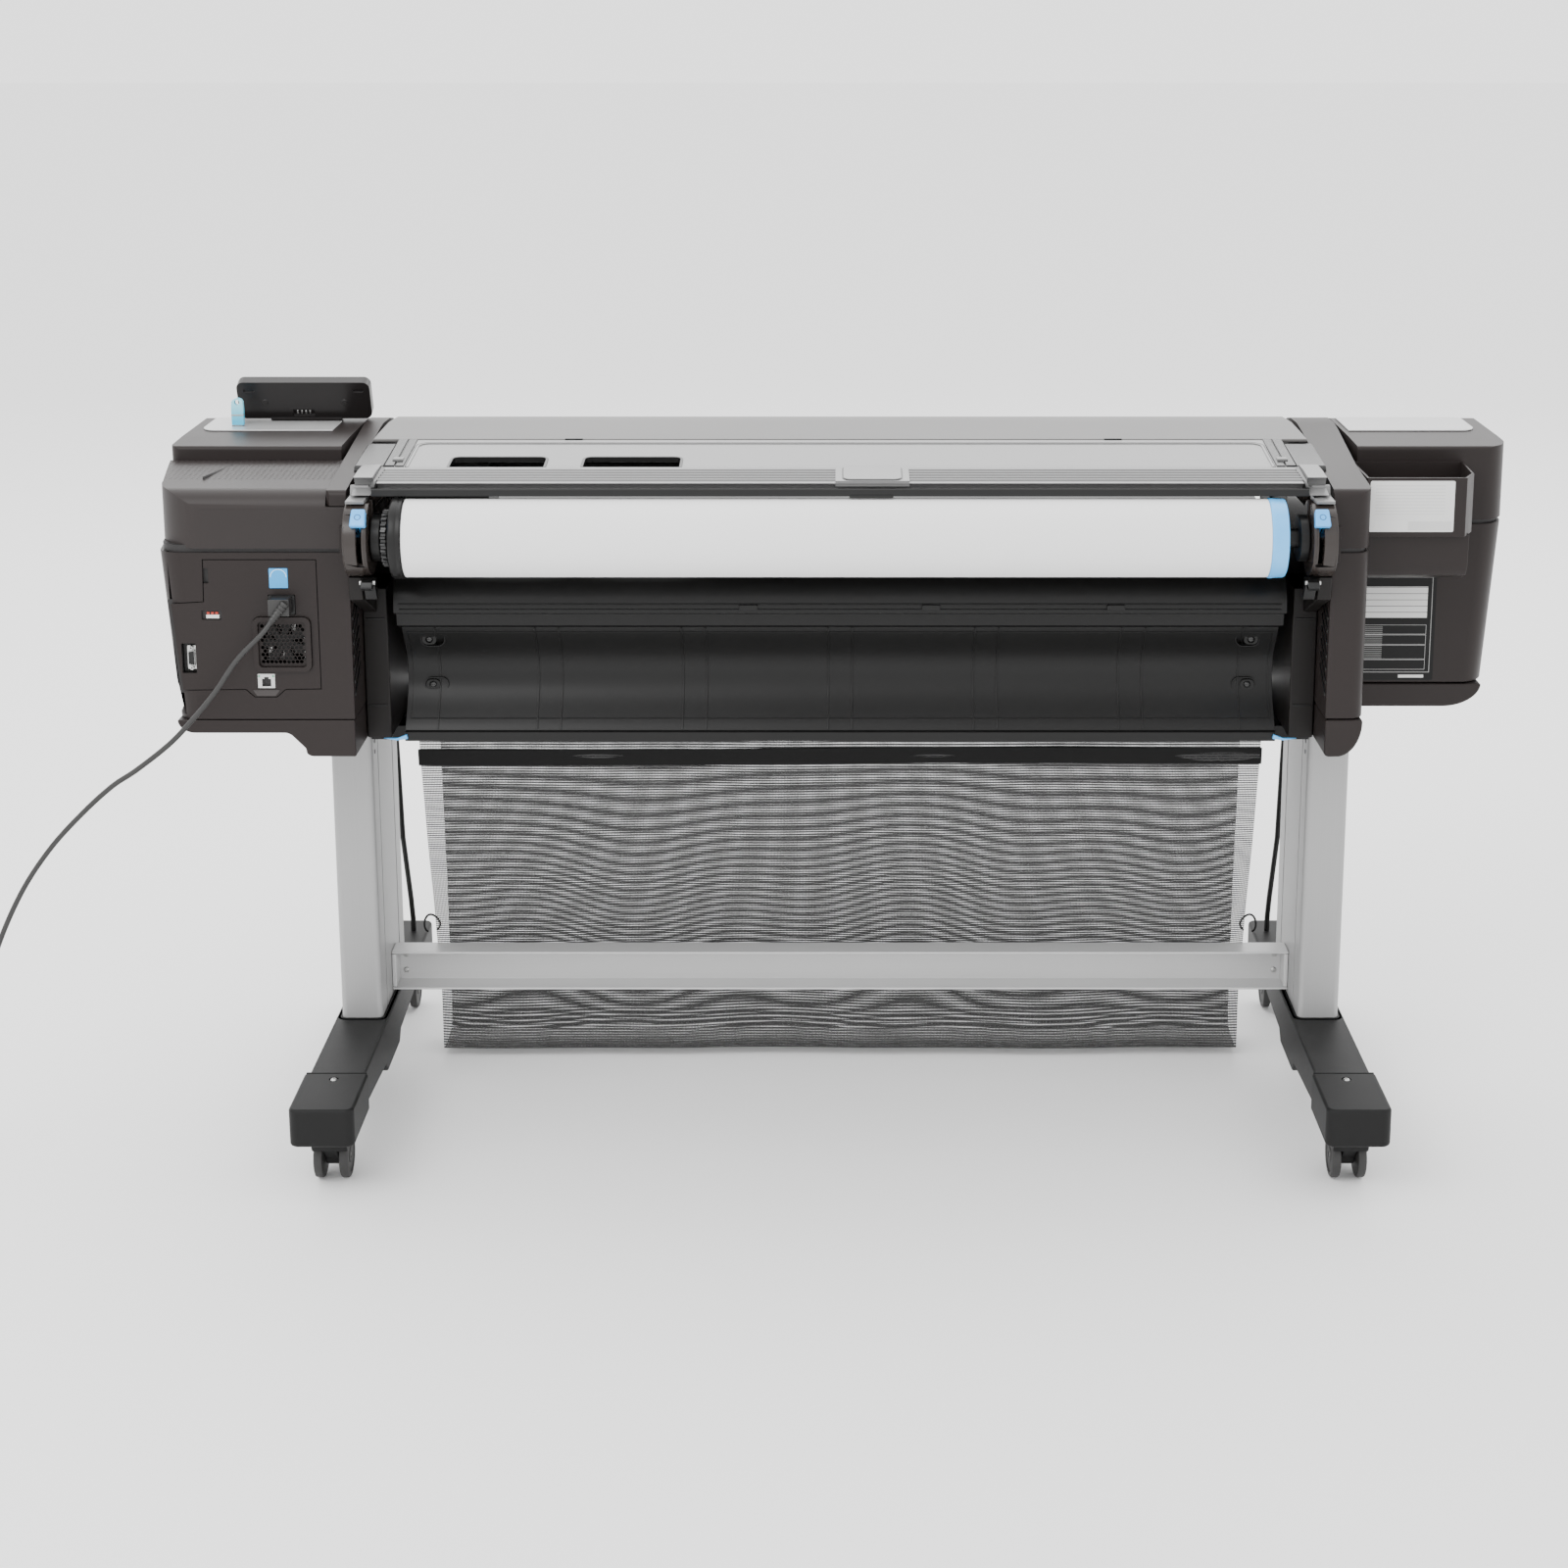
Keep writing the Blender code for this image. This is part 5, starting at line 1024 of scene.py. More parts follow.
front_lower = slab("front_lower_shell", "side", lower_line, -BAY_HALF + 0.0005, BAY_HALF - 0.0005)
fit(eased(front_lower, 0.0009, 2, 40), housing, replaces=("front_lower_cover",))


# ------------------------------------------------------------------ print beam and carriage
# Behind the window: the black platen that the paper crosses, the steel rail, and the carriage that runs
# along it.
bay_black = moulded("bay_black_plastic", colour(0.0070, 0.0069, 0.0068), 0.34, grain=0.0011, uneven=0.2,
                    shine=0.22)
for node in ("print_beam", "print_carriage"):
    bpy.data.objects[node].data.materials[0] = bay_black


# ------------------------------------------------------------------ roll bay panels
# Two long black mouldings line the bay under the roll. The upper one guides the paper in; the lower one
# is a hollow panel with five pairs of ribs, held by four screws in oblong pockets.
ROLL_Y, ROLL_Z = -0.200, 0.8505
guide_line = [(-0.0600, 0.7880)] + arc((-0.0980, 0.7440), (0.0500, 0.0460), 80, 180, 16)
guide_line += [(-0.1480, 0.7380), (-0.1440, 0.7360), (-0.1300, 0.7350), (-0.1240, 0.7150), (-0.1180, 0.7150),
               (-0.1240, 0.7390), (-0.1420, 0.7430)]
guide_line += arc((-0.0980, 0.7440), (0.0440, 0.0400), 172, 80, 14) + [(-0.0600, 0.7820)]
guide = slab("paper_guide", "side", guide_line, -0.585, 0.585)
fit(eased(guide, 0.0005, 2, 40), bay_black, replaces=("roll_guide",))
for z in (0.7430, 0.7500):
    y = -0.0980 - 0.0500 * math.sqrt(max(0.0, 1 - ((z - 0.7440) / 0.0460) ** 2))
    ridge = slab("guide_ridge", "side", arc((y + 0.0004, z), (0.0016, 0.0012), 0, 330, 11), -0.578, 0.578)
    fit(smooth(ridge), bay_black)
for x in (-0.120, 0.119, 0.361):
    clip = slab("guide_clip", "rear", rounded((x - 0.012, 0.7420), (x + 0.012, 0.7495), 0.0025, 3), -0.1510,
                -0.1460)
    fit(eased(clip, 0.0008, 2), bay_black)


def bay_y(z):
    """How deep the lower panel's hollow face lies at a height."""
    share = min(1.0, max(0.0, (0.7120 - z) / 0.1420))
    return -0.1180 + 0.040 * math.sin(math.pi * share) ** 1.2


def along_bay(start, stop, proud, steps=30):
    heights = [start + (stop - start) * i / steps for i in range(steps + 1)]
    return [(bay_y(z) - proud, z) for z in heights]


face = along_bay(0.7120, 0.5700, 0.0)
panel_line = face + [(-0.1230, 0.5680), (-0.1230, 0.5560), (-0.1200, 0.5560), (-0.1200, 0.5650)]
panel_line += [(y + 0.003, z) for y, z in reversed(face)]
bay_panel = slab("hollow_bay_panel", "side", panel_line, -0.580, 0.580)
fit(eased(bay_panel, 0.0006, 2, 40), bay_black, replaces=("roll_bay_panel",))
pair_places = [(i - 2) * 0.1942 for i in range(5)]
rib_places = [place + offset for place in pair_places for offset in (-0.0158, 0.0158)] + [-0.5365, 0.5335]
for x in rib_places:
    rib = slab("bay_panel_rib", "side",
               along_bay(0.7105, 0.5715, 0.0012) + along_bay(0.5715, 0.7105, -0.0010),
               x - 0.0012, x + 0.0012)
    fit(eased(rib, 0.0005, 2, 60), bay_black)
for low_z, high_z in ((0.7030, 0.7044), (0.5830, 0.5844)):
    y = bay_y((low_z + high_z) / 2)
    line = block("bay_panel_line", (-0.5740, y - 0.0010, low_z), (0.5740, y + 0.0020, high_z))
    fit(eased(line, 0.0004, 1), bay_black)
for x in (-0.5740, 0.5740):
    rib = slab("bay_panel_edge", "side",
               along_bay(0.7044, 0.5830, 0.0010) + along_bay(0.5830, 0.7044, -0.0010),
               x - 0.0008, x + 0.0008)
    fit(smooth(rib), bay_black)

screw_black = moulded("screw_black", colour(0.016, 0.016, 0.016), 0.25, shine=0.5)


def screw(place, radius, axis, out, finish=screw_black):
    """A domed cross-head screw with its head at a place, facing out along an axis."""
    profile = [(0.0, 0.0), (0.0, radius), (0.35 * radius, radius * 0.94), (0.60 * radius, radius * 0.66),
               (0.68 * radius, 0.0)]
    if out < 0:
        profile = [(-along, r) for along, r in reversed(profile)]
    head = turned("screw_head", profile, place, axis, 24)
    middle = Vector(place)
    index = "XYZ".index(axis)
    for turn in range(2):
        size = [radius * 0.62, radius * 0.62, radius * 0.62]
        size[(index + 1 + turn) % 3] = radius * 0.12
        size[index] = radius * 0.30
        centre = middle.copy()
        centre[index] += out * radius * 0.68
        carve(head, "DIFFERENCE", block("cross", centre - Vector(size), centre + Vector(size)))
    fit(smooth(head), finish)


for side in (-1, 1):
    for z in (0.6918, 0.6236):
        x = side * 0.5460
        y = bay_y(z)
        pocket_line = rounded((x - 0.0095, z - 0.0070), (x + 0.0095, z + 0.0070), 0.0065, 5)
        left_reach, right_reach = (0.0105, 0.0200)[::-side]
        outer_line = rounded((x - left_reach, z - 0.0090), (x + right_reach, z + 0.0090), 0.0085, 5)
        ring = slab("screw_pocket_outline", "rear", outer_line, y - 0.0022, y + 0.006,
                    [drawn_in(outer_line, 0.0009)])
        fit(smooth(ring), bay_black)
        floor_of_pocket = slab("screw_pocket", "rear", pocket_line, y - 0.0030, y + 0.006,
                               [arc((x, z), (0.0050, 0.0050), 0, 345, 23)])
        fit(eased(floor_of_pocket, 0.0006, 2), bay_black)
        screw((x, y - 0.0004, z), 0.0042, "Y", -1)


# ------------------------------------------------------------------ side frames and spindle holders
# Black end frames stand beside the bay. Each carries a glossy brown holder whose notch takes the spindle,
# with a blue latch lever over it, a black stop plate on top and a sprung hook below.
FRAME_IN, FRAME_OUT, HOLDER_RADIUS, BLADE_X = 0.5995, 0.6322, 0.0490, 0.6090
dark_brown = moulded("holder_plastic", colour(0.024, 0.019, 0.017), 0.24, uneven=0.15, shine=0.35)
frame_black = moulded("side_frame_plastic", colour(0.0080, 0.0068, 0.0064), 0.42, uneven=0.2, shine=0.18)


def about_roll(radius, start, end, steps):
    return arc((ROLL_Y, ROLL_Z), (radius, radius), start, end, steps)


def ring_part(inner_radius, outer_radius, start, end, steps):
    return about_roll(outer_radius, start, end, steps) + about_roll(inner_radius, end, start, steps)


blue_plastic = Finish("touch_point_blue")
blue_clouds = blue_plastic.place.noise(40.0, 2.0)
blue_grain = blue_plastic.place.noise(1500.0, 2.0)
blue_plastic.set(
    base_color=blue_clouds.blend(colour(0.085, 0.400, 0.820), colour(0.120, 0.480, 0.920)),
    roughness=0.26 + blue_grain * 0.10,
    specular_ior_level=0.5,
    normal=blue_grain.bump(0.00003, 0.4),
)
for side_name, side in (("left", -1), ("right", 1)):
    low, high = mirrored(side, FRAME_IN, FRAME_OUT)
    outline = [(-0.1100, 0.5570), (0.2000, 0.5570), (0.2000, 0.9000), (-0.0300, 0.9000), (-0.0300, 0.7630),
               (-0.1100, 0.7630)]
    end_frame = slab(side_name + "_end_frame", "side", outline, low, high)
    fit(eased(end_frame, 0.0020), frame_black, replaces=(side_name + "_side_frame",))
    for z, reach in ((0.7200, 0.0014), (0.6010, 0.0014)):
        low_x, high_x = mirrored(side, FRAME_IN + 0.004, FRAME_OUT - 0.004)
        seam_bar = block("end_frame_seam", (low_x, -0.1100 - reach, z), (high_x, -0.1090, z + 0.0022))
        fit(eased(seam_bar, 0.0005, 1), slot_black)

    outline = [(-0.0320, 0.8150), (-0.0320, 0.8850)] + about_roll(HOLDER_RADIUS, 46, 314, 44)
    low, high = mirrored(side, 0.5992, 0.6300)
    holder = slab(side_name + "_holder", "side", outline, low, high)
    across = (0.5, 0.7) if side > 0 else (-0.7, -0.5)
    notch = about_roll(0.0098, 180, 360, 16) + [(ROLL_Y + 0.0098, 0.95), (ROLL_Y - 0.0098, 0.95)]
    blade = mirrored(side, BLADE_X - 0.0033, BLADE_X + 0.0033)
    carve(holder, "DIFFERENCE", slab("notch", "side", notch, *across),
          slab("blade_room", "side", about_roll(0.0430, 0, 350, 35), *blade),
          slab("blade_slot", "side", ring_part(0.030, 0.060, 132, 216, 14), *blade))
    fit(eased(holder, 0.0022, 3), dark_brown, replaces=(side_name + "_spindle_holder",))
    for x in (0.6014, 0.6280):
        bead = slab("holder_bead", "side",
                    ring_part(HOLDER_RADIUS - 0.002, HOLDER_RADIUS + 0.0005, 150, 262, 30),
                    *mirrored(side, x, x + 0.0016))
        fit(eased(bead, 0.0004, 1), dark_brown)

    swing = mirrored(side, BLADE_X - 0.0025, BLADE_X + 0.0025)
    hook = about_roll(0.0160, 72, 136, 12) + about_roll(0.0530, 137, 146, 4)
    hook += about_roll(0.0160, 147, 165, 6) + about_roll(0.0108, 165, 72, 18)
    lever = slab(side_name + "_lever", "side", hook, *swing)
    tab_line = ring_part(HOLDER_RADIUS + 0.0008, 0.0600, 130, 154, 8)
    tab = slab("lever_tab", "side", tab_line, *mirrored(side, BLADE_X - 0.0105, BLADE_X + 0.0105))
    middle = side * BLADE_X
    taper_line = [(middle - 0.0108, 0.865), (middle + 0.0108, 0.865), (middle + 0.0080, 0.905),
                  (middle - 0.0080, 0.905)]
    taper = slab("tab_taper", "rear", taper_line, -0.30, -0.15)
    carve(tab, "INTERSECT", taper)
    eased(tab, 0.0020, 4)
    carve(lever, "UNION", tab)
    latch_blue = Finish(side_name + "_latch_blue")
    shade = latch_blue.place.noise(40.0, 2.0)
    face_at = (side * BLADE_X, *about_roll(0.0600, 142, 142, 1)[0])
    away = latch_blue.place.node("ShaderNodeVectorMath", {"operation": "DISTANCE"},
                                 {0: latch_blue.place, 1: face_at}, "Value")
    mark = (away > 0.0030) * (away < 0.0043)
    latch_face = shade.blend(colour(0.060, 0.350, 0.800), colour(0.090, 0.430, 0.900))
    latch_blue.set(base_color=mark.blend(latch_face, colour(0.02, 0.12, 0.30)), roughness=0.24 + shade * 0.10)
    fit(smooth(lever), latch_blue.material, side_name + "_lever", (side_name + "_latch_lever",))

    low_x, high_x = mirrored(side, 0.6050, 0.6290)
    stop_plate = slab("spindle_stop_plate", "side",
                      [(-0.2210, 0.8985), (-0.2210, 0.9025), (-0.1850, 0.9035), (-0.1800, 0.9150),
                       (-0.1740, 0.9150),
                       (-0.1760, 0.8960)], low_x, high_x)
    fit(eased(stop_plate, 0.0008, 2), smoked.material)
    low_x, high_x = mirrored(side, 0.5950, 0.6100)
    hook_line = [(-0.2250, 0.8040), (-0.2390, 0.8010), (-0.2420, 0.7940), (-0.2360, 0.7890),
                 (-0.2290, 0.7925),
                 (-0.2200, 0.7930), (-0.2050, 0.7700), (-0.1980, 0.7720), (-0.2060, 0.8010)]
    catch_hook = slab("sprung_hook", "side", hook_line, low_x, high_x)
    fit(eased(catch_hook, 0.0012), slot_black)
    pivot = turned("sprung_hook_pivot", [(-0.010, 0.0), (-0.010, 0.0032), (0.010, 0.0032), (0.010, 0.0)],
                   (side * 0.6025, -0.2300, 0.7985), "X", 24)
    fit(smooth(pivot), steel.material)
    arm_line = [(-0.2100, 0.8010), (-0.1300, 0.7630), (-0.1100, 0.7500), (-0.1100, 0.7300), (-0.2060, 0.7700)]
    low_x, high_x = mirrored(side, 0.6130, 0.6310)
    bracket = slab("holder_bracket", "side", arm_line, low_x, high_x)
    fit(eased(bracket, 0.0020), frame_black)
    for step in range(7):
        z = 0.6350 + step * 0.0170
        slat = [(-0.1840, z), (-0.1420, z + 0.0300), (-0.1420, z + 0.0345), (-0.1840, z + 0.0045)]
        low_x, high_x = mirrored(side, BAY_HALF - 0.0016, BAY_HALF + 0.0010)
        louvre = slab("bay_wall_louvre", "side", slat, low_x, high_x)
        fit(eased(louvre, 0.0006, 1), slot_black)
    skid_line = [(side * 0.5755, 0.5605), (side * 0.5900, 0.5585), (side * 0.6080, 0.5612),
                 (side * 0.5900, 0.5615),
                 (side * 0.5830, 0.5640), (side * 0.5770, 0.5665)]
    skid = slab("blue_loading_mark", "rear", skid_line[::side], -0.1285, -0.1235)
    fit(eased(skid, 0.0008, 2), blue_plastic.material)


# ------------------------------------------------------------------ paper roll and spindle
# A 44-inch roll of white bond paper on a black spindle. The fixed black flange is on the left, the
# sliding blue one on the right, and a small gear by the left journal turns with it.
paper = Finish("bond_paper")
fibres = paper.place.stretched(300.0, 1400.0, 1400.0).noise(1.0, 3.0, 0.6)
tone = paper.place.stretched(1.5, 4.0, 4.0).noise(1.0, 2.0)
from_axis = (paper.place.stretched(0.0, 1.0, 1.0)).node(
    "ShaderNodeVectorMath", {"operation": "DISTANCE"},
    {0: paper.place.stretched(0.0, 1.0, 1.0), 1: (0.0, ROLL_Y, ROLL_Z)}, "Value")
wraps = ((from_axis / 0.0011) % 1.0 - 0.5).absolute()
on_end = from_axis < 0.0498
paper.set(
    base_color=(tone * 0.7 + wraps * on_end * 0.6).blend(colour(0.83, 0.83, 0.835), colour(0.70, 0.70, 0.69)),
    roughness=0.72 + fibres * 0.10,
    normal=fibres.bump(0.00003, 0.5),
)
ROLL_LENGTH, ROLL_RADIUS, FLANGE_IN = 1.103, 0.0505, 0.5570
start = -FLANGE_IN + 0.0003
stop = start + ROLL_LENGTH
roll_centre = (0.0, ROLL_Y, ROLL_Z)
roll_profile = [(start, 0.0262), (start, ROLL_RADIUS - 0.0004), (start + 0.0004, ROLL_RADIUS)]
roll_profile += [(stop - 0.0004, ROLL_RADIUS), (stop, ROLL_RADIUS - 0.0004), (stop, 0.0262)]
roll = turned("wound_paper", roll_profile, roll_centre, "X", 96, hollow=True)
fit(smooth(roll), paper.material, "roll", ("paper_roll",))
edge_step = turned("paper_edge_step",
                   [(start + 0.0002, 0.0500), (start + 0.0002, 0.0508), (start + 0.0014, 0.0508),
                                       (start + 0.0014, 0.0500)], roll_centre, "X", 96, hollow=True)
fit(smooth(edge_step), slot_black, "roll")

journal, hub, end = 0.0080, 0.5975, 0.6290
bar_profile = [(-end, 0.0), (-end, journal - 0.001), (-end + 0.001, journal), (-hub, journal), (-hub, 0.0290),
               (-hub + 0.001, 0.0300), (-hub + 0.011, 0.0300), (-hub + 0.012, 0.0290), (-hub + 0.012, 0.0200),
               (-0.5735, 0.0200), (-0.5735, 0.0440), (-0.5725, 0.0505), (-0.5710, 0.0520), (-0.5695, 0.0525),
               (-0.5640, 0.0525), (-0.5630, 0.0518), (-0.5615, 0.0518), (-0.5605, 0.0525), (-0.5575, 0.0525),
               (-0.5570, 0.0520), (-0.5570, 0.0255), (-0.5300, 0.0255), (-0.5300, 0.0125),
               (hub - 0.012, 0.0125),
               (hub - 0.012, 0.0290), (hub - 0.011, 0.0300), (hub - 0.001, 0.0300), (hub, 0.0290),
               (hub, journal),
               (end - 0.001, journal), (end, journal - 0.001), (end, 0.0)]
bar = turned("spindle_bar", bar_profile, roll_centre, "X", 72)
fit(smooth(bar), bay_black, "roll", ("spindle",))
TEETH = 26
gear_line = []
for tooth in range(TEETH):
    at = 360 * tooth / TEETH
    gear_line += about_roll(0.0370, at, at + 4, 1) + about_roll(0.0330, at + 6, at + 12, 1)
gear = slab("spindle_gear", "side", gear_line, -0.5838, -0.5768)
fit(eased(gear, 0.0004, 1), screw_black, "roll")
front = stop + 0.0003
flange_profile = [(front - 0.0300, 0.0135), (front - 0.0300, 0.0255), (front, 0.0255), (front, 0.0505),
                  (front + 0.0010, 0.0515), (front + 0.0060, 0.0518), (front + 0.0075, 0.0512),
                  (front + 0.0195, 0.0508), (front + 0.0212, 0.0500), (front + 0.0220, 0.0480),
                  (front + 0.0220, 0.0440), (front + 0.0190, 0.0425), (front + 0.0190, 0.0220),
                  (front + 0.0220, 0.0200), (front + 0.0220, 0.0135)]
blue_disc = turned("sliding_flange", flange_profile, roll_centre, "X", 96, hollow=True)
fit(smooth(blue_disc), blue_plastic.material, "roll", ("blue_flange",))
for spoke in range(6):
    at = math.radians(60 * spoke + 20)
    middle = Vector((front + 0.0195, ROLL_Y + 0.0325 * math.cos(at), ROLL_Z + 0.0325 * math.sin(at)))
    rib = block("flange_rib", (-0.0010, -0.0095, -0.0012), (0.0022, 0.0095, 0.0012))
    rib.data.transform(Matrix.Translation(middle) @ Matrix.Rotation(at, 4, "X"))
    fit(eased(rib, 0.0005, 1), blue_plastic.material, "roll")


# ------------------------------------------------------------------ storage pocket and labels
# An open bin screws to the back of the ink end, on a narrower stepped foot. A pale card label is stuck to
# it, and a black rating plate with blank white fields to the wall below.
pocket_rear, pocket_back, pocket_side = -0.1250, BOX_REAR - 0.0003, TOWER_OUT + 0.0045
pocket_plan = [(pocket_side, pocket_rear), (0.8180, pocket_rear), (0.8340, -0.0930), (0.8385, pocket_back),
               (pocket_side, pocket_back)]
bin_shell = slab("bin_shell", "plan", pocket_plan, 0.8350, 0.9140)
bin_foot = slab("bin_foot", "side",
                [(pocket_rear + 0.012, 0.8370), (pocket_back, 0.8370), (pocket_back, 0.7700),
                                     (pocket_rear + 0.040, 0.7715), (pocket_rear + 0.022, 0.7790),
                                     (pocket_rear + 0.014, 0.7920)], pocket_side, 0.8270)
carve(bin_shell, "UNION", bin_foot)
eased(bin_shell, 0.0030, 3)
bin_inside = slab("bin_inside", "plan", drawn_in(pocket_plan, -0.0030), 0.8385, 1.0)
carve(bin_shell, "DIFFERENCE", bin_inside)
fit(eased(bin_shell, 0.0009, 2), housing, replaces=("storage_pocket",))
for x in (0.7230, 0.7620):
    wall_rib = slab("bin_inner_rib", "plan",
                    [(x, -0.1225), (x + 0.0025, -0.1225), (x + 0.0025, -0.1090), (x, -0.1090)],
                    0.8390, 0.9100)
    fit(eased(wall_rib, 0.0006, 2), housing)
# The seam under the foot is a thin near-black strip: painted shade in the joint.
foot_seam = block("bin_foot_seam", (pocket_side + 0.001, pocket_rear + 0.0110, 0.8342),
                  (0.8262, pocket_rear + 0.0130, 0.8352))
fit(eased(foot_seam, 0.0002, 1), gap_shade.material)


def patch(place, low, high):
    """One inside a rectangle of a wall that faces the rear, nought outside."""
    x, z = place.along("X"), place.along("Z")
    return (x > low[0]) * (x < high[0]) * (z > low[1]) * (z < high[1])


card = Finish("card_label")
card_fibre = card.place.noise(900.0, 2.0)
ruled_part = patch(card.place, (0.6990, 0.8620), (0.7900, 0.9040))
ruling = ((card.place.along("Z") / 0.0042) % 1.0 < 0.22) * ruled_part
bright_field = patch(card.place, (0.6990, 0.8440), (0.7420, 0.8560))
grey_field = patch(card.place, (0.7430, 0.8440), (0.8000, 0.8560))
fields = bright_field * -0.3 + grey_field * 0.6
card_tone = ruling * 0.35 + fields * 0.45 + card_fibre * 0.10
card.set(base_color=card_tone.blend(colour(0.62, 0.62, 0.61), colour(0.30, 0.30, 0.30)),
         roughness=0.55 + card_fibre * 0.1)
card_sheet = slab("pale_card_label", "rear", rounded((0.6920, 0.8420), (0.8025, 0.9100), 0.002, 3),
                  pocket_rear - 0.0005, pocket_rear - 0.0001)
fit(card_sheet, card.material)
plate_ink = Finish("rating_plate")
spot = plate_ink.place


def outlined(low, high, width=0.0007):
    """The thin border just inside a rectangle."""
    inner_low, inner_high = (low[0] + width, low[1] + width), (high[0] - width, high[1] - width)
    return patch(spot, low, high) * (1 - patch(spot, inner_low, inner_high))


between_rows = (spot.along("Z") / 0.0087) % 1.0 > 0.10
white_fields = patch(spot, (0.6980, 0.6975), (0.7995, 0.7410)) * (between_rows * 0.85 + 0.15)
white_fields = white_fields + patch(spot, (0.7640, 0.6130), (0.7985, 0.6172))
border_fields = outlined((0.6800, 0.6205), (0.8060, 0.7545))
for low_z, high_z in ((0.6245, 0.6385), (0.6392, 0.6590), (0.6597, 0.6735), (0.6742, 0.6875)):
    border_fields = border_fields + outlined((0.6800, low_z), (0.7995, high_z), 0.0005)
rows = ((spot.along("Z") / 0.0026) % 1.0 < 0.40) * patch(spot, (0.6870, 0.6400), (0.7400, 0.6850)) * 0.30
plate_sum = white_fields + border_fields * 0.6 + rows
plate_tone = plate_sum.maths("MINIMUM", plate_sum, 1.0)
plate_ink.set(base_color=plate_tone.blend(colour(0.008, 0.008, 0.008), colour(0.60, 0.60, 0.59)),
              roughness=0.40 + spot.noise(500.0) * 0.10, specular_ior_level=0.15)
rating_plate = slab("rating_plate", "rear", rounded((0.6880, 0.6095), (0.8110, 0.7560), 0.002, 3),
                    BOX_REAR - 0.0006,
                    BOX_REAR - 0.0001)
fit(rating_plate, plate_ink.material)


# ------------------------------------------------------------------ control panel
# The touch screen leans back on the left end. Its black shell has a ribbed back with two oval vents near
# the top corners, and the glass is bonded into the front.
PANEL_PLACE, PANEL_LEAN = (0.0, 0.1830, 0.9410), 21.2
panel_stand = Matrix.Translation(PANEL_PLACE) @ Matrix.Rotation(math.radians(PANEL_LEAN), 4, "X")


def on_panel(piece):
    piece.data.transform(panel_stand)
    return piece


panel_black = moulded("panel_shell_plastic", colour(0.011, 0.0095, 0.0095), 0.30, uneven=0.2, shine=0.3)
shell_line = rounded((-0.8480, -0.0020), (-0.6610, 0.0565), 0.0100, 8)
panel = slab("screen_shell", "rear", shell_line, 0.0, 0.0170)
for low_x in (-0.8385, -0.6850):
    carve(panel, "DIFFERENCE",
          slab("vent", "rear", rounded((low_x, 0.0405), (low_x + 0.0150, 0.0455), 0.0024, 5),
                                    -0.01, 0.0020))
carve(panel, "DIFFERENCE",
      slab("socket_cut", "rear", rounded((-0.7720, 0.0030), (-0.7420, 0.0125), 0.0015, 3), -0.01, 0.0030))
fit(on_panel(eased(panel, 0.0035, 4)), panel_black, "panel", ("control_panel",))
for x in (-0.8100, -0.6980):
    boss = turned("screen_boss",
                  [(-0.0006, 0.0), (-0.0006, 0.0035), (0.0004, 0.0045), (0.0020, 0.0045), (0.0020, 0.0)],
                  (x, 0.0, 0.0250), "Y", 28)
    fit(on_panel(smooth(boss)), panel_black, "panel")
for i in range(4):
    pin = block("screen_socket_pin", (-0.7670 + i * 0.0058, 0.0010, 0.0050),
                (-0.7648 + i * 0.0058, 0.0032, 0.0105))
    fit(on_panel(eased(pin, 0.0003, 1)), steel.material, "panel")
glass = Finish("screen_glass")
smears = glass.place.noise(30.0, 3.0)
glass.set(base_color=smears.blend(colour(0.006, 0.007, 0.009), colour(0.012, 0.013, 0.016)),
          roughness=0.05 + smears * 0.06,
          coat_weight=0.8)
screen = slab("screen_glass", "rear", rounded((-0.8400, 0.0045), (-0.6690, 0.0505), 0.0050, 6), 0.0166,
              0.0174)
fit(on_panel(eased(screen, 0.0003, 1)), glass.material, "panel")
hinge_block = slab("screen_hinge", "rear", rounded((-0.8050, 0.9362), (-0.7040, 0.9440), 0.002, 3), 0.1830,
                   0.1960)
fit(eased(hinge_block, 0.0010, 2), panel_black)


# ------------------------------------------------------------------ memory stick
# A thin light-blue stick stands in the port beside the screen, with an eye for a cord moulded into its top.
stick_blue = Finish("stick_blue")
height = stick_blue.place.along("Z")
stick_mist = stick_blue.place.noise(120.0, 2.0)
# The blue is painted paler towards the top and deeper towards the foot: painted light and shade.
lit_height_and_mist = (height - 0.945) / 0.030 + stick_mist * 0.2
stick_blue.set(
    base_color=lit_height_and_mist.blend(colour(0.02, 0.42, 0.66), colour(0.30, 0.78, 0.92)),
    roughness=0.15 + stick_mist * 0.1, coat_weight=0.5)
STICK_X = -0.8395
stick_line = [(STICK_X - 0.0083, 0.9395), (STICK_X + 0.0083, 0.9395), (STICK_X + 0.0083, 0.9640)]
stick_line += arc((STICK_X, 0.9690), (0.0083, 0.0080), 20, 160, 14) + [(STICK_X - 0.0083, 0.9640)]
stick = slab("memory_stick_body", "rear", stick_line, 0.1280, 0.1360,
             [arc((STICK_X, 0.9712), (0.0036, 0.0036), 0, 345, 23)])
fit(eased(stick, 0.0016, 3), stick_blue.material, "memory_stick", ("usb_stick",))
stick_tip = block("memory_stick_tip", (STICK_X - 0.0058, 0.1300, 0.9335), (STICK_X + 0.0058, 0.1340, 0.9398))
fit(eased(stick_tip, 0.0003, 1), steel.material, "memory_stick")
stick_band = slab("memory_stick_band", "rear",
                  rounded((STICK_X - 0.0086, 0.9520), (STICK_X + 0.0086, 0.9545), 0.0008, 2),
                  0.1277, 0.1363)
fit(eased(stick_band, 0.0004, 1), steel.material, "memory_stick")


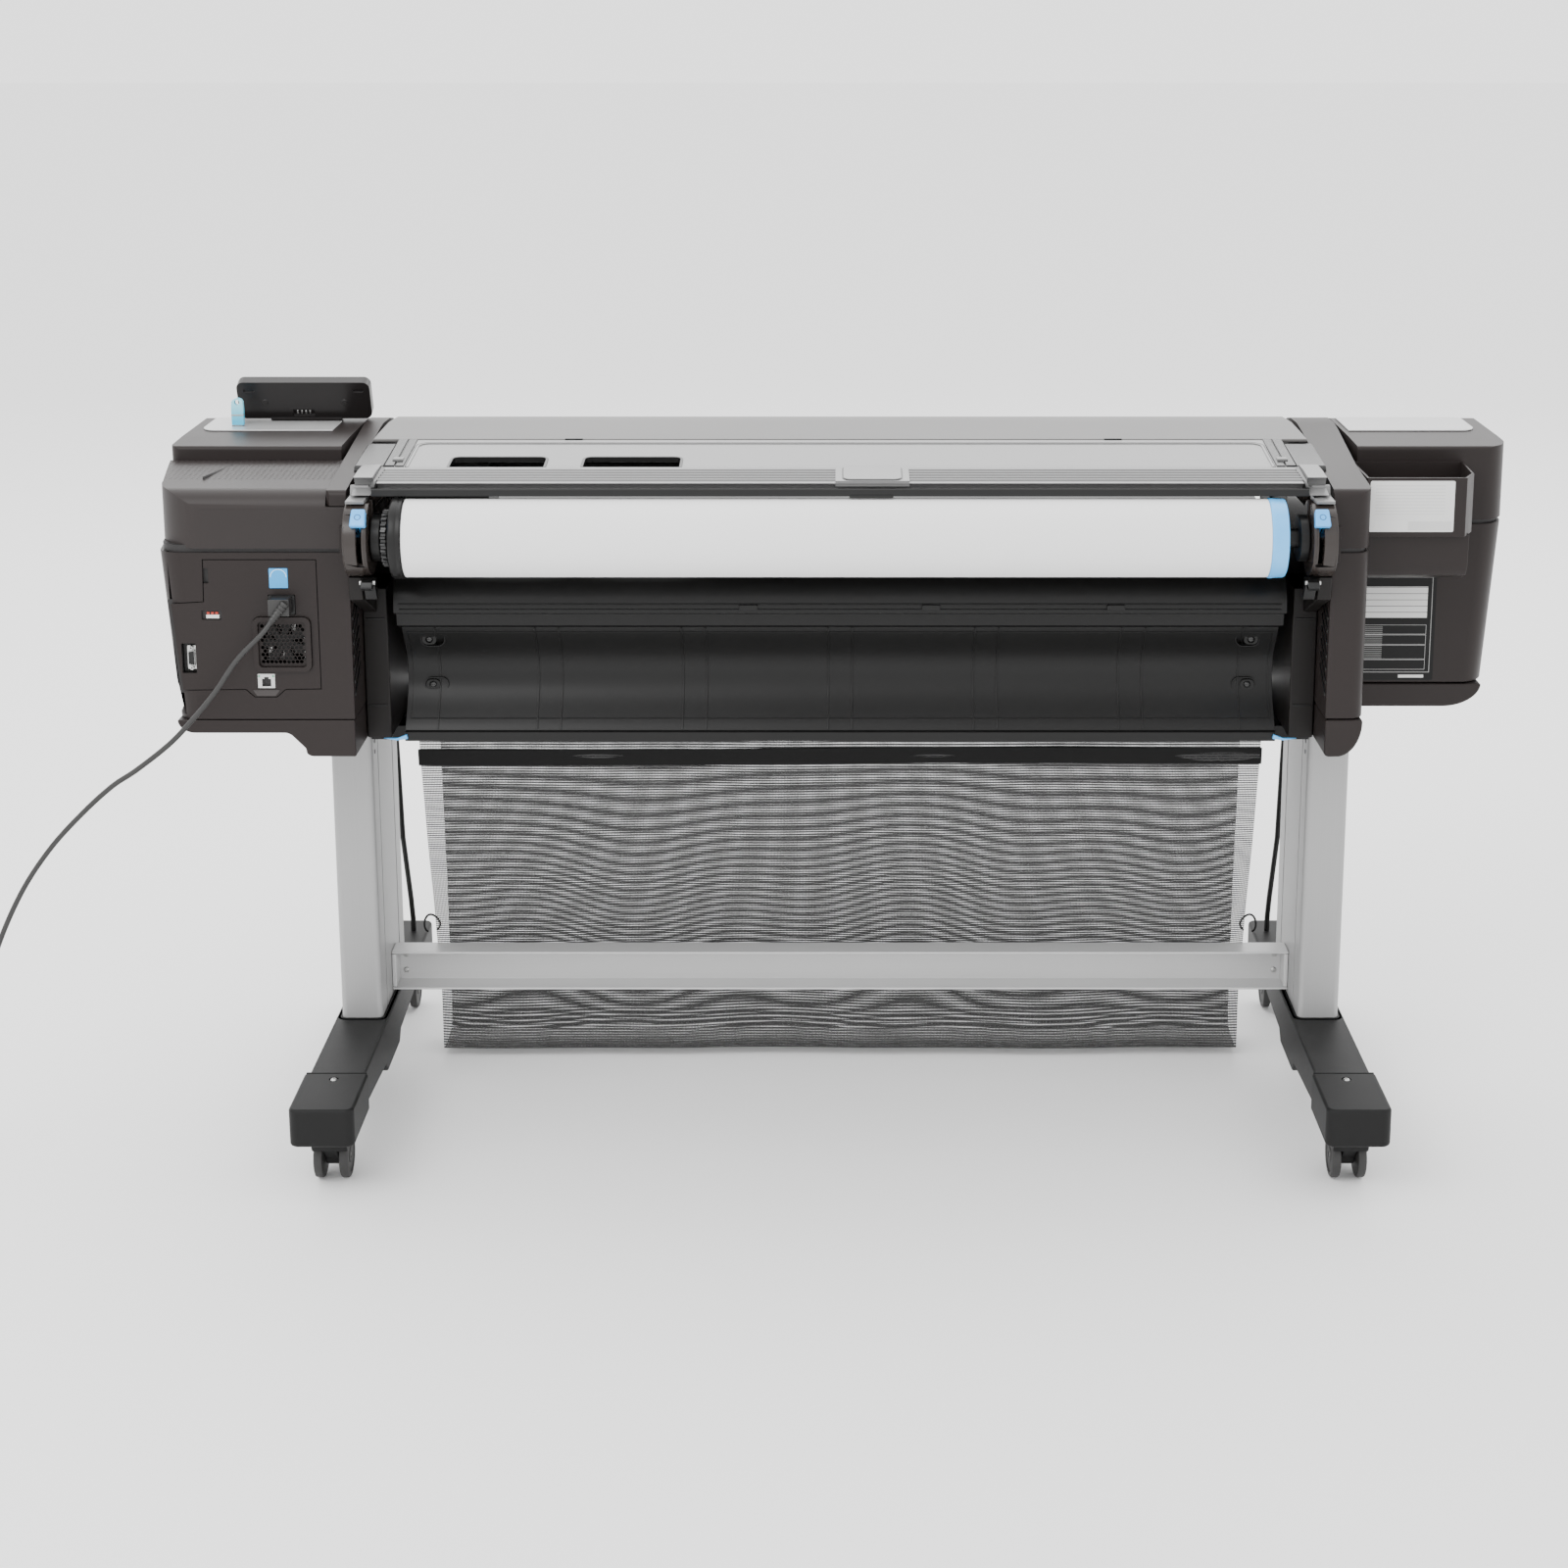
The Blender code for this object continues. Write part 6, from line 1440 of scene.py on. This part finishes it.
# ------------------------------------------------------------------ feet
# Black sheet-steel feet with a fine powder coat, each ending in two moulded shells that hide the caster
# stems.
POST_X, POST_REAR, POST_FRONT, POST_TOP = 0.6695, -0.034, 0.172, 0.5545
powder = Finish("foot_powder_coat")
orange_peel = powder.place.noise(750.0, 2.0, 0.6)
foot_dust = powder.place.noise(14.0, 4.0, 0.65)
powder.set(base_color=foot_dust.blend(colour(0.0095, 0.0095, 0.0095), colour(0.0180, 0.0180, 0.0180)),
           roughness=0.42 + orange_peel * 0.14, specular_ior_level=0.14,
           normal=orange_peel.bump(0.00008, 0.7))
cap_plastic = moulded("foot_shell_plastic", colour(0.0100, 0.0100, 0.0100), 0.50, grain=0.0009, uneven=0.15,
                      shine=0.14)
for side_name, side in (("left", -1), ("right", 1)):
    x = side * POST_X
    half_line = [(0.050, 0.053), (0.064, 0.068), (0.225, 0.079), (0.335, 0.0795), (0.335, 0.1250)]
    foot = slab(side_name + "_foot_beam", "side", half_line + [(-y, z) for y, z in reversed(half_line)],
                x - 0.037, x + 0.037)
    carve(foot, "DIFFERENCE",
          slab("post_socket", "plan",
               rounded((x - 0.0315, POST_REAR - 0.003), (x + 0.0315, POST_FRONT + 0.003),
                                                                  0.009, 5), 0.078, 0.2))
    fit(eased(foot, 0.0030, 3), powder.material, replaces=(side_name + "_foot",))
    for end_name, end in (("rear", -1), ("front", 1)):
        inner_y, outer_y, half = 0.2285, 0.3475, 0.04225
        plan = [(x - half, inner_y), (x + half, inner_y)]
        plan += arc((x + half - 0.012, outer_y - 0.012), (0.012, 0.012), 0, 90, 8)
        plan += arc((x - half + 0.012, outer_y - 0.012), (0.012, 0.012), 90, 180, 8)
        if end < 0:
            plan = [(a, -b) for a, b in reversed(plan)]
        cap = slab(f"{side_name}_{end_name}_cap_shell", "plan", plan, 0.0766, 0.1285)
        eased(cap, 0.0040, 4)
        low_y, high_y = sorted((end * (inner_y - 0.01), end * (outer_y - 0.0045)))
        carve(cap, "DIFFERENCE", block("cap_room", (x - 0.038, low_y, 0.060), (x + 0.038, high_y, 0.1255)),
              turned("screw_recess", [(0.1268, 0.0), (0.1268, 0.0062), (0.1400, 0.0072), (0.1400, 0.0)],
                     (x, end * 0.2490, 0.0), "Z", 32))
        fit(smooth(cap), cap_plastic, replaces=(f"{side_name}_{end_name}_foot_cap",))
        screw((x, end * 0.2490, 0.1262), 0.0048, "Z", 1, finish=steel.material)
        step = block("cap_step", (x - half + 0.002, end * 0.2285 - 0.0015, 0.0800),
                     (x + half - 0.002, end * 0.2285 + 0.0015, 0.1288))
        carve(step, "DIFFERENCE", block("step_room", (x - 0.0378, -0.5, 0.05), (x + 0.0378, 0.5, 0.1257)))
        fit(eased(step, 0.0008, 2), cap_plastic)


# ------------------------------------------------------------------ casters
# Twin-wheel swivel casters: a nylon hood and leg on a steel stem, and two wheels with a soft grey tread
# on one axle.
tread_rubber = Finish("caster_tread")
wear = tread_rubber.place.noise(120.0, 3.0, 0.7)
tread_rubber.set(base_color=wear.blend(colour(0.012, 0.012, 0.012), colour(0.028, 0.027, 0.026)),
                 roughness=0.5 + wear * 0.2,
                 normal=wear.bump(0.0002, 0.4))
for side_name, side in (("left", -1), ("right", 1)):
    for end_name, end in (("rear", -1), ("front", 1)):
        x, y = side * POST_X, end * 0.292
        name = f"{side_name}_{end_name}"
        axle = (x, y + 0.025, 0.030)
        leg_line = [(y - 0.014, 0.0785), (y - 0.014, 0.066), (y - 0.002, 0.046)]
        leg_line += arc(axle[1:], (0.012, 0.012), 180, 400, 18)
        leg_line += [(y + 0.030, 0.064), (y + 0.020, 0.0785)]
        leg = slab(name + "_caster_leg", "side", leg_line, x - 0.0095, x + 0.0095)
        fit(eased(leg, 0.0015), cap_plastic, name + "_swivel", (name + "_caster_fork",))
        hood_line = [(y - 0.016, 0.0784), (y - 0.016, 0.0700)]
        hood_line += arc(axle[1:], (0.0345, 0.0345), 150, 75, 10)
        hood_line += [(y + 0.034, 0.0700), (y + 0.030, 0.0784)]
        hood = slab(name + "_caster_hood", "side", hood_line, x - 0.0235, x + 0.0235)
        room_profile = [(-0.05, 0.0), (-0.05, 0.0325), (0.05, 0.0325), (0.05, 0.0)]
        carve(hood, "DIFFERENCE", turned("wheel_room", room_profile, axle, "X", 40))
        fit(eased(hood, 0.0016), cap_plastic, name + "_swivel")
        stem = turned(name + "_caster_stem",
                      [(0.0745, 0.0), (0.0745, 0.0072), (0.0785, 0.0072), (0.0785, 0.0050),
                                              (0.0985, 0.0050), (0.0985, 0.0)], (x, y, 0.0), "Z", 28)
        fit(smooth(stem), steel.material, name + "_swivel")
        for wheel in (-1, 1):
            flat = [(0.0108, 0.0040), (0.0108, 0.0265), (0.0118, 0.0290), (0.0138, 0.0300), (0.0200, 0.0300),
                    (0.0220, 0.0290), (0.0228, 0.0270), (0.0228, 0.0235), (0.0214, 0.0225), (0.0214, 0.0110),
                    (0.0226, 0.0100), (0.0226, 0.0040)]
            if wheel < 0:
                flat = [(-a, r) for a, r in reversed(flat)]
            tyre = turned(name + "_wheel", flat, axle, "X", 64, hollow=True)
            replaced = (name + "_caster_wheels",) if wheel < 0 else ()
            fit(smooth(tyre), tread_rubber.material, name + "_wheels", replaced)
        pin = turned(name + "_axle", [(-0.0218, 0.0), (-0.0218, 0.0040), (0.0218, 0.0040), (0.0218, 0.0)],
                     axle, "X", 24)
        fit(smooth(pin), steel.material, name + "_wheels")


# ------------------------------------------------------------------ posts and cross beam
# Extruded aluminium, sprayed satin silver, with fine draw lines along each length. Two grooves run up the
# inner face of each post, and the beam is an open channel held at each end by two screws.
def drawn_aluminium(name, along_x, along_y, along_z, shade):
    made = Finish(name)
    lines = made.place.stretched(along_x, along_y, along_z).noise(1.0, 3.0, 0.6)
    cloud = made.place.noise(3.0, 2.0)
    dark = colour(shade, shade, shade)
    made.set(
        base_color=(lines * 0.5 + cloud * 0.5).blend(dark, tinted(dark, 0.25)),
        metallic=0.25, roughness=0.36 + lines * 0.12, normal=lines.bump(0.00005, 0.5))
    return made.material


post_silver = drawn_aluminium("post_silver", 900.0, 900.0, 3.0, 0.275)
# The beam is the posts' aluminium painted much lighter, to lift its shaded faces: painted light.
lit_beam_silver = drawn_aluminium("lit_beam_silver", 3.0, 900.0, 900.0, 0.450)
for side_name, side in (("left", -1), ("right", 1)):
    x = side * POST_X
    post_line = rounded((x - 0.0285, POST_REAR), (x + 0.0285, POST_FRONT), 0.008, 8)
    inner_face = x - side * 0.0285
    post = slab(side_name + "_extruded_post", "plan", post_line, 0.0783, POST_TOP,
                [rounded((x - 0.0250, POST_REAR + 0.0035), (x + 0.0250, POST_FRONT - 0.0035), 0.005, 4)])
    eased(post, 0.0008, 2)
    for y in (0.010, 0.124):
        low_x, high_x = sorted((inner_face - side * 0.01, inner_face + side * 0.0018))
        carve(post, "DIFFERENCE", block("groove", (low_x, y - 0.0025, 0.0), (high_x, y + 0.0025, 0.7)))
    fit(smooth(post), post_silver, replaces=(side_name + "_post",))
    # Each hole is a thin near-black disc on the post's face: painted shade in the hole.
    for z in (0.5230, 0.5080):
        hole = turned("post_hole", [(-0.0004, 0.0), (-0.0004, 0.0032), (0.0004, 0.0032), (0.0004, 0.0)],
                      (inner_face, -0.0120, z), "X", 24)
        fit(smooth(hole), gap_shade.material)
    collar_line = rounded((x - 0.0312, POST_REAR - 0.0027), (x + 0.0312, POST_FRONT + 0.0027), 0.009, 6)
    collar_hole = rounded((x - 0.0287, POST_REAR - 0.0002), (x + 0.0287, POST_FRONT + 0.0002), 0.008, 6)
    collar = slab("post_collar", "plan", collar_line, 0.1240, 0.1262, [collar_hole])
    fit(eased(collar, 0.0006, 1), cap_plastic)

reach = POST_X - 0.0288
channel = [(0.053, 0.1325), (0.092, 0.1325), (0.092, 0.1895), (0.053, 0.1895), (0.053, 0.1865),
           (0.089, 0.1865),
           (0.089, 0.1355), (0.053, 0.1355)]
beam = slab("channel_beam", "side", channel, -reach, reach)
fit(eased(beam, 0.0012, 3), lit_beam_silver, replaces=("cross_beam",))
for side in (-1, 1):
    low_x, high_x = mirrored(side, reach - 0.0060, reach - 0.0002)
    end_plate = block("beam_end_plate", (low_x, 0.0545, 0.1362), (high_x, 0.0885, 0.1858))
    fit(eased(end_plate, 0.0012, 2), lit_beam_silver)
    for z in (0.1490, 0.1735):
        screw((side * (reach - 0.0150), 0.0889, z), 0.0042, "Y", -1, finish=steel.material)

for node in ("base_tray", "basket_frame"):
    bpy.data.objects[node].data.materials[0] = powder.material


# ------------------------------------------------------------------ print basket
# One length of black ribbed netting, 1.17 m wide, folded into a trough: the near side hangs from the
# machine's base, the far side from the bent tube. A woven band is sewn across the near side just under
# the base.
NET_HALF = 0.585
near = [(0.0185, 0.5310), (0.0220, 0.5020), (0.0250, 0.4780), (0.0530, 0.3390), (0.1000, 0.1715),
        (0.1195, 0.1060),
        (0.1215, 0.0290), (0.1280, 0.0125)]
far = [(0.1950, 0.0125), (0.2050, 0.0200), (0.2130, 0.0660), (0.2070, 0.2000), (0.2050, 0.5150)]
net_line = smooth_route([(0.0, y, z) for y, z in near + far], 0.010)
net_length = sum((b - a).length for a, b in zip(net_line, net_line[1:]))
COLUMNS = 120
cloth = bmesh.new()
rows_of_cloth = []
for index, point in enumerate(net_line):
    row = []
    share = index / (len(net_line) - 1)
    hang = min(1.0, 4 * min(share, 1 - share))
    for column in range(COLUMNS + 1):
        x = NET_HALF * (2 * column / COLUMNS - 1)
        ripple = 0.0022 * math.sin(x * 9.0 + 5.0 * share) + 0.0014 * math.sin(x * 23.0 - 7.0 * share + 1.0)
        edge = 0.004 * hang * max(0.0, abs(x) / NET_HALF - 0.93) / 0.07
        row.append(cloth.verts.new((x - math.copysign(edge, x), point.y + hang * ripple, point.z)))
    rows_of_cloth.append(row)
for first, second in zip(rows_of_cloth, rows_of_cloth[1:]):
    for column in range(COLUMNS):
        cloth.faces.new((first[column], first[column + 1], second[column + 1], second[column]))
net_cloth = linked("netting", cloth)
net_finish = Finish("ribbed_netting")
place = net_finish.place
along_cloth = place.along("Z") - place.along("Y")
RIB_PITCH, THREAD_PITCH = 0.0042, 0.0021
weave_wander = place.stretched(2.5, 0.0, 14.0).noise(1.0, 2.0)
rib_wave = (((along_cloth + weave_wander * 0.0010) / RIB_PITCH) % 1.0 - 0.5).absolute() * 2.0
thread_wave = ((place.along("X") / THREAD_PITCH) % 1.0 - 0.5).absolute() * 2.0
cover = (rib_wave > 0.46).maths("MAXIMUM", rib_wave > 0.46, (thread_wave > 0.62) * 0.75)
net_finish.set(
    base_color=place.noise(35.0, 3.0).blend(colour(0.012, 0.012, 0.012), colour(0.040, 0.040, 0.040)),
    roughness=0.62 + place.noise(600.0) * 0.12,
    alpha=0.18 + cover * 0.80,
    normal=rib_wave.bump(0.0005, 0.6),
)
fit(smooth(net_cloth, 80), net_finish.material, replaces=("basket_cloth",))

band_black = Finish("woven_band")
twill = (((band_black.place.along("X") + band_black.place.along("Z")) / 0.0016) % 1.0 - 0.5).absolute()
band_black.set(base_color=twill.blend(colour(0.006, 0.006, 0.006), colour(0.016, 0.016, 0.016)),
               roughness=0.6 + twill * 0.2,
               specular_ior_level=0.12,
               normal=twill.bump(0.0003, 0.6))


def sewn_band(name, low_z, high_z, y_of_z, thick=0.0016):
    """A flat woven band across the cloth, gently waved, that wraps its edge."""
    made = bmesh.new()
    rows_made = []
    for z, offset in ((low_z, -thick), (high_z, -thick), (high_z, thick), (low_z, thick)):
        row = []
        for column in range(COLUMNS + 1):
            x = (NET_HALF + 0.002) * (2 * column / COLUMNS - 1)
            lift = 0.0016 * math.sin(x * 5.0 + 0.6) + 0.0022 * max(0.0, x)
            row.append(made.verts.new((x, y_of_z(z) + offset + 0.0010 * math.sin(x * 14.0), z + lift)))
        rows_made.append(row)
    for first, second in zip(rows_made, rows_made[1:] + rows_made[:1]):
        for column in range(COLUMNS):
            made.faces.new((first[column], first[column + 1], second[column + 1], second[column]))
    for column in (0, COLUMNS):
        made.faces.new([row[column] for row in rows_made])
    bmesh.ops.recalc_face_normals(made, faces=made.faces)
    piece = linked(name, made)
    return fit(eased(piece, 0.0006, 2, 50), band_black.material)


near_band = sewn_band("near_band", 0.4780, 0.5020, lambda z: 0.0250 - (z - 0.4780) * 0.125)
far_hem = sewn_band("far_hem", 0.5030, 0.5130, lambda z: 0.2052)

# Two black wire loops at the tube's ends clip the netting's corners to the feet.
for side in (-1, 1):
    loop_at = Vector((side * 0.6200, 0.2960, 0.1420))
    loop = [loop_at + Vector((side * 0.012 * math.cos(math.radians(a)), 0.004 * math.sin(math.radians(2 * a)),
                              0.014 * math.sin(math.radians(a)))) for a in range(-60, 241, 20)]
    clip_wire = wire("net_clip", [tuple(p) for p in loop], 0.0016, 3)
    clip_wire.data.materials.append(powder.material)
    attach(clip_wire, "chassis")


# ------------------------------------------------------------------ floor, backdrop and light
floor = block("floor", (-30, -30, -0.0105), (30, 30, -0.0005))
pale = Finish("pale_floor")
pale.set(base_color=colour(0.92, 0.92, 0.92), roughness=0.9 + pale.place.noise(300.0) * 0.05)
floor.data.materials.append(pale.material)

world = bpy.data.worlds.new("studio")
world.use_nodes = True
world.node_tree.nodes["Background"].inputs["Color"].default_value = colour(1.0, 1.0, 1.0)
world.node_tree.nodes["Background"].inputs["Strength"].default_value = 2.1
bpy.context.scene.world = world


def softbox(name, place, target, size, power):
    light = bpy.data.lights.new(name, "AREA")
    light.shape = "RECTANGLE"
    light.size, light.size_y = size
    light.energy = power
    made = bpy.data.objects.new(name, light)
    made.location = place
    made.rotation_euler = (Vector(target) - Vector(place)).to_track_quat("-Z", "Y").to_euler()
    bpy.context.scene.collection.objects.link(made)


softbox("key_light", (-1.8, -2.4, 3.2), (0.0, 0.0, 0.6), (2.4, 1.6), 70)
softbox("top_light", (0.0, 1.0, 3.4), (0.0, 0.0, 0.7), (4.0, 2.0), 40)
softbox("back_light", (0.0, 4.2, 3.4), (0.0, 0.0, 0.8), (6.0, 1.6), 110)
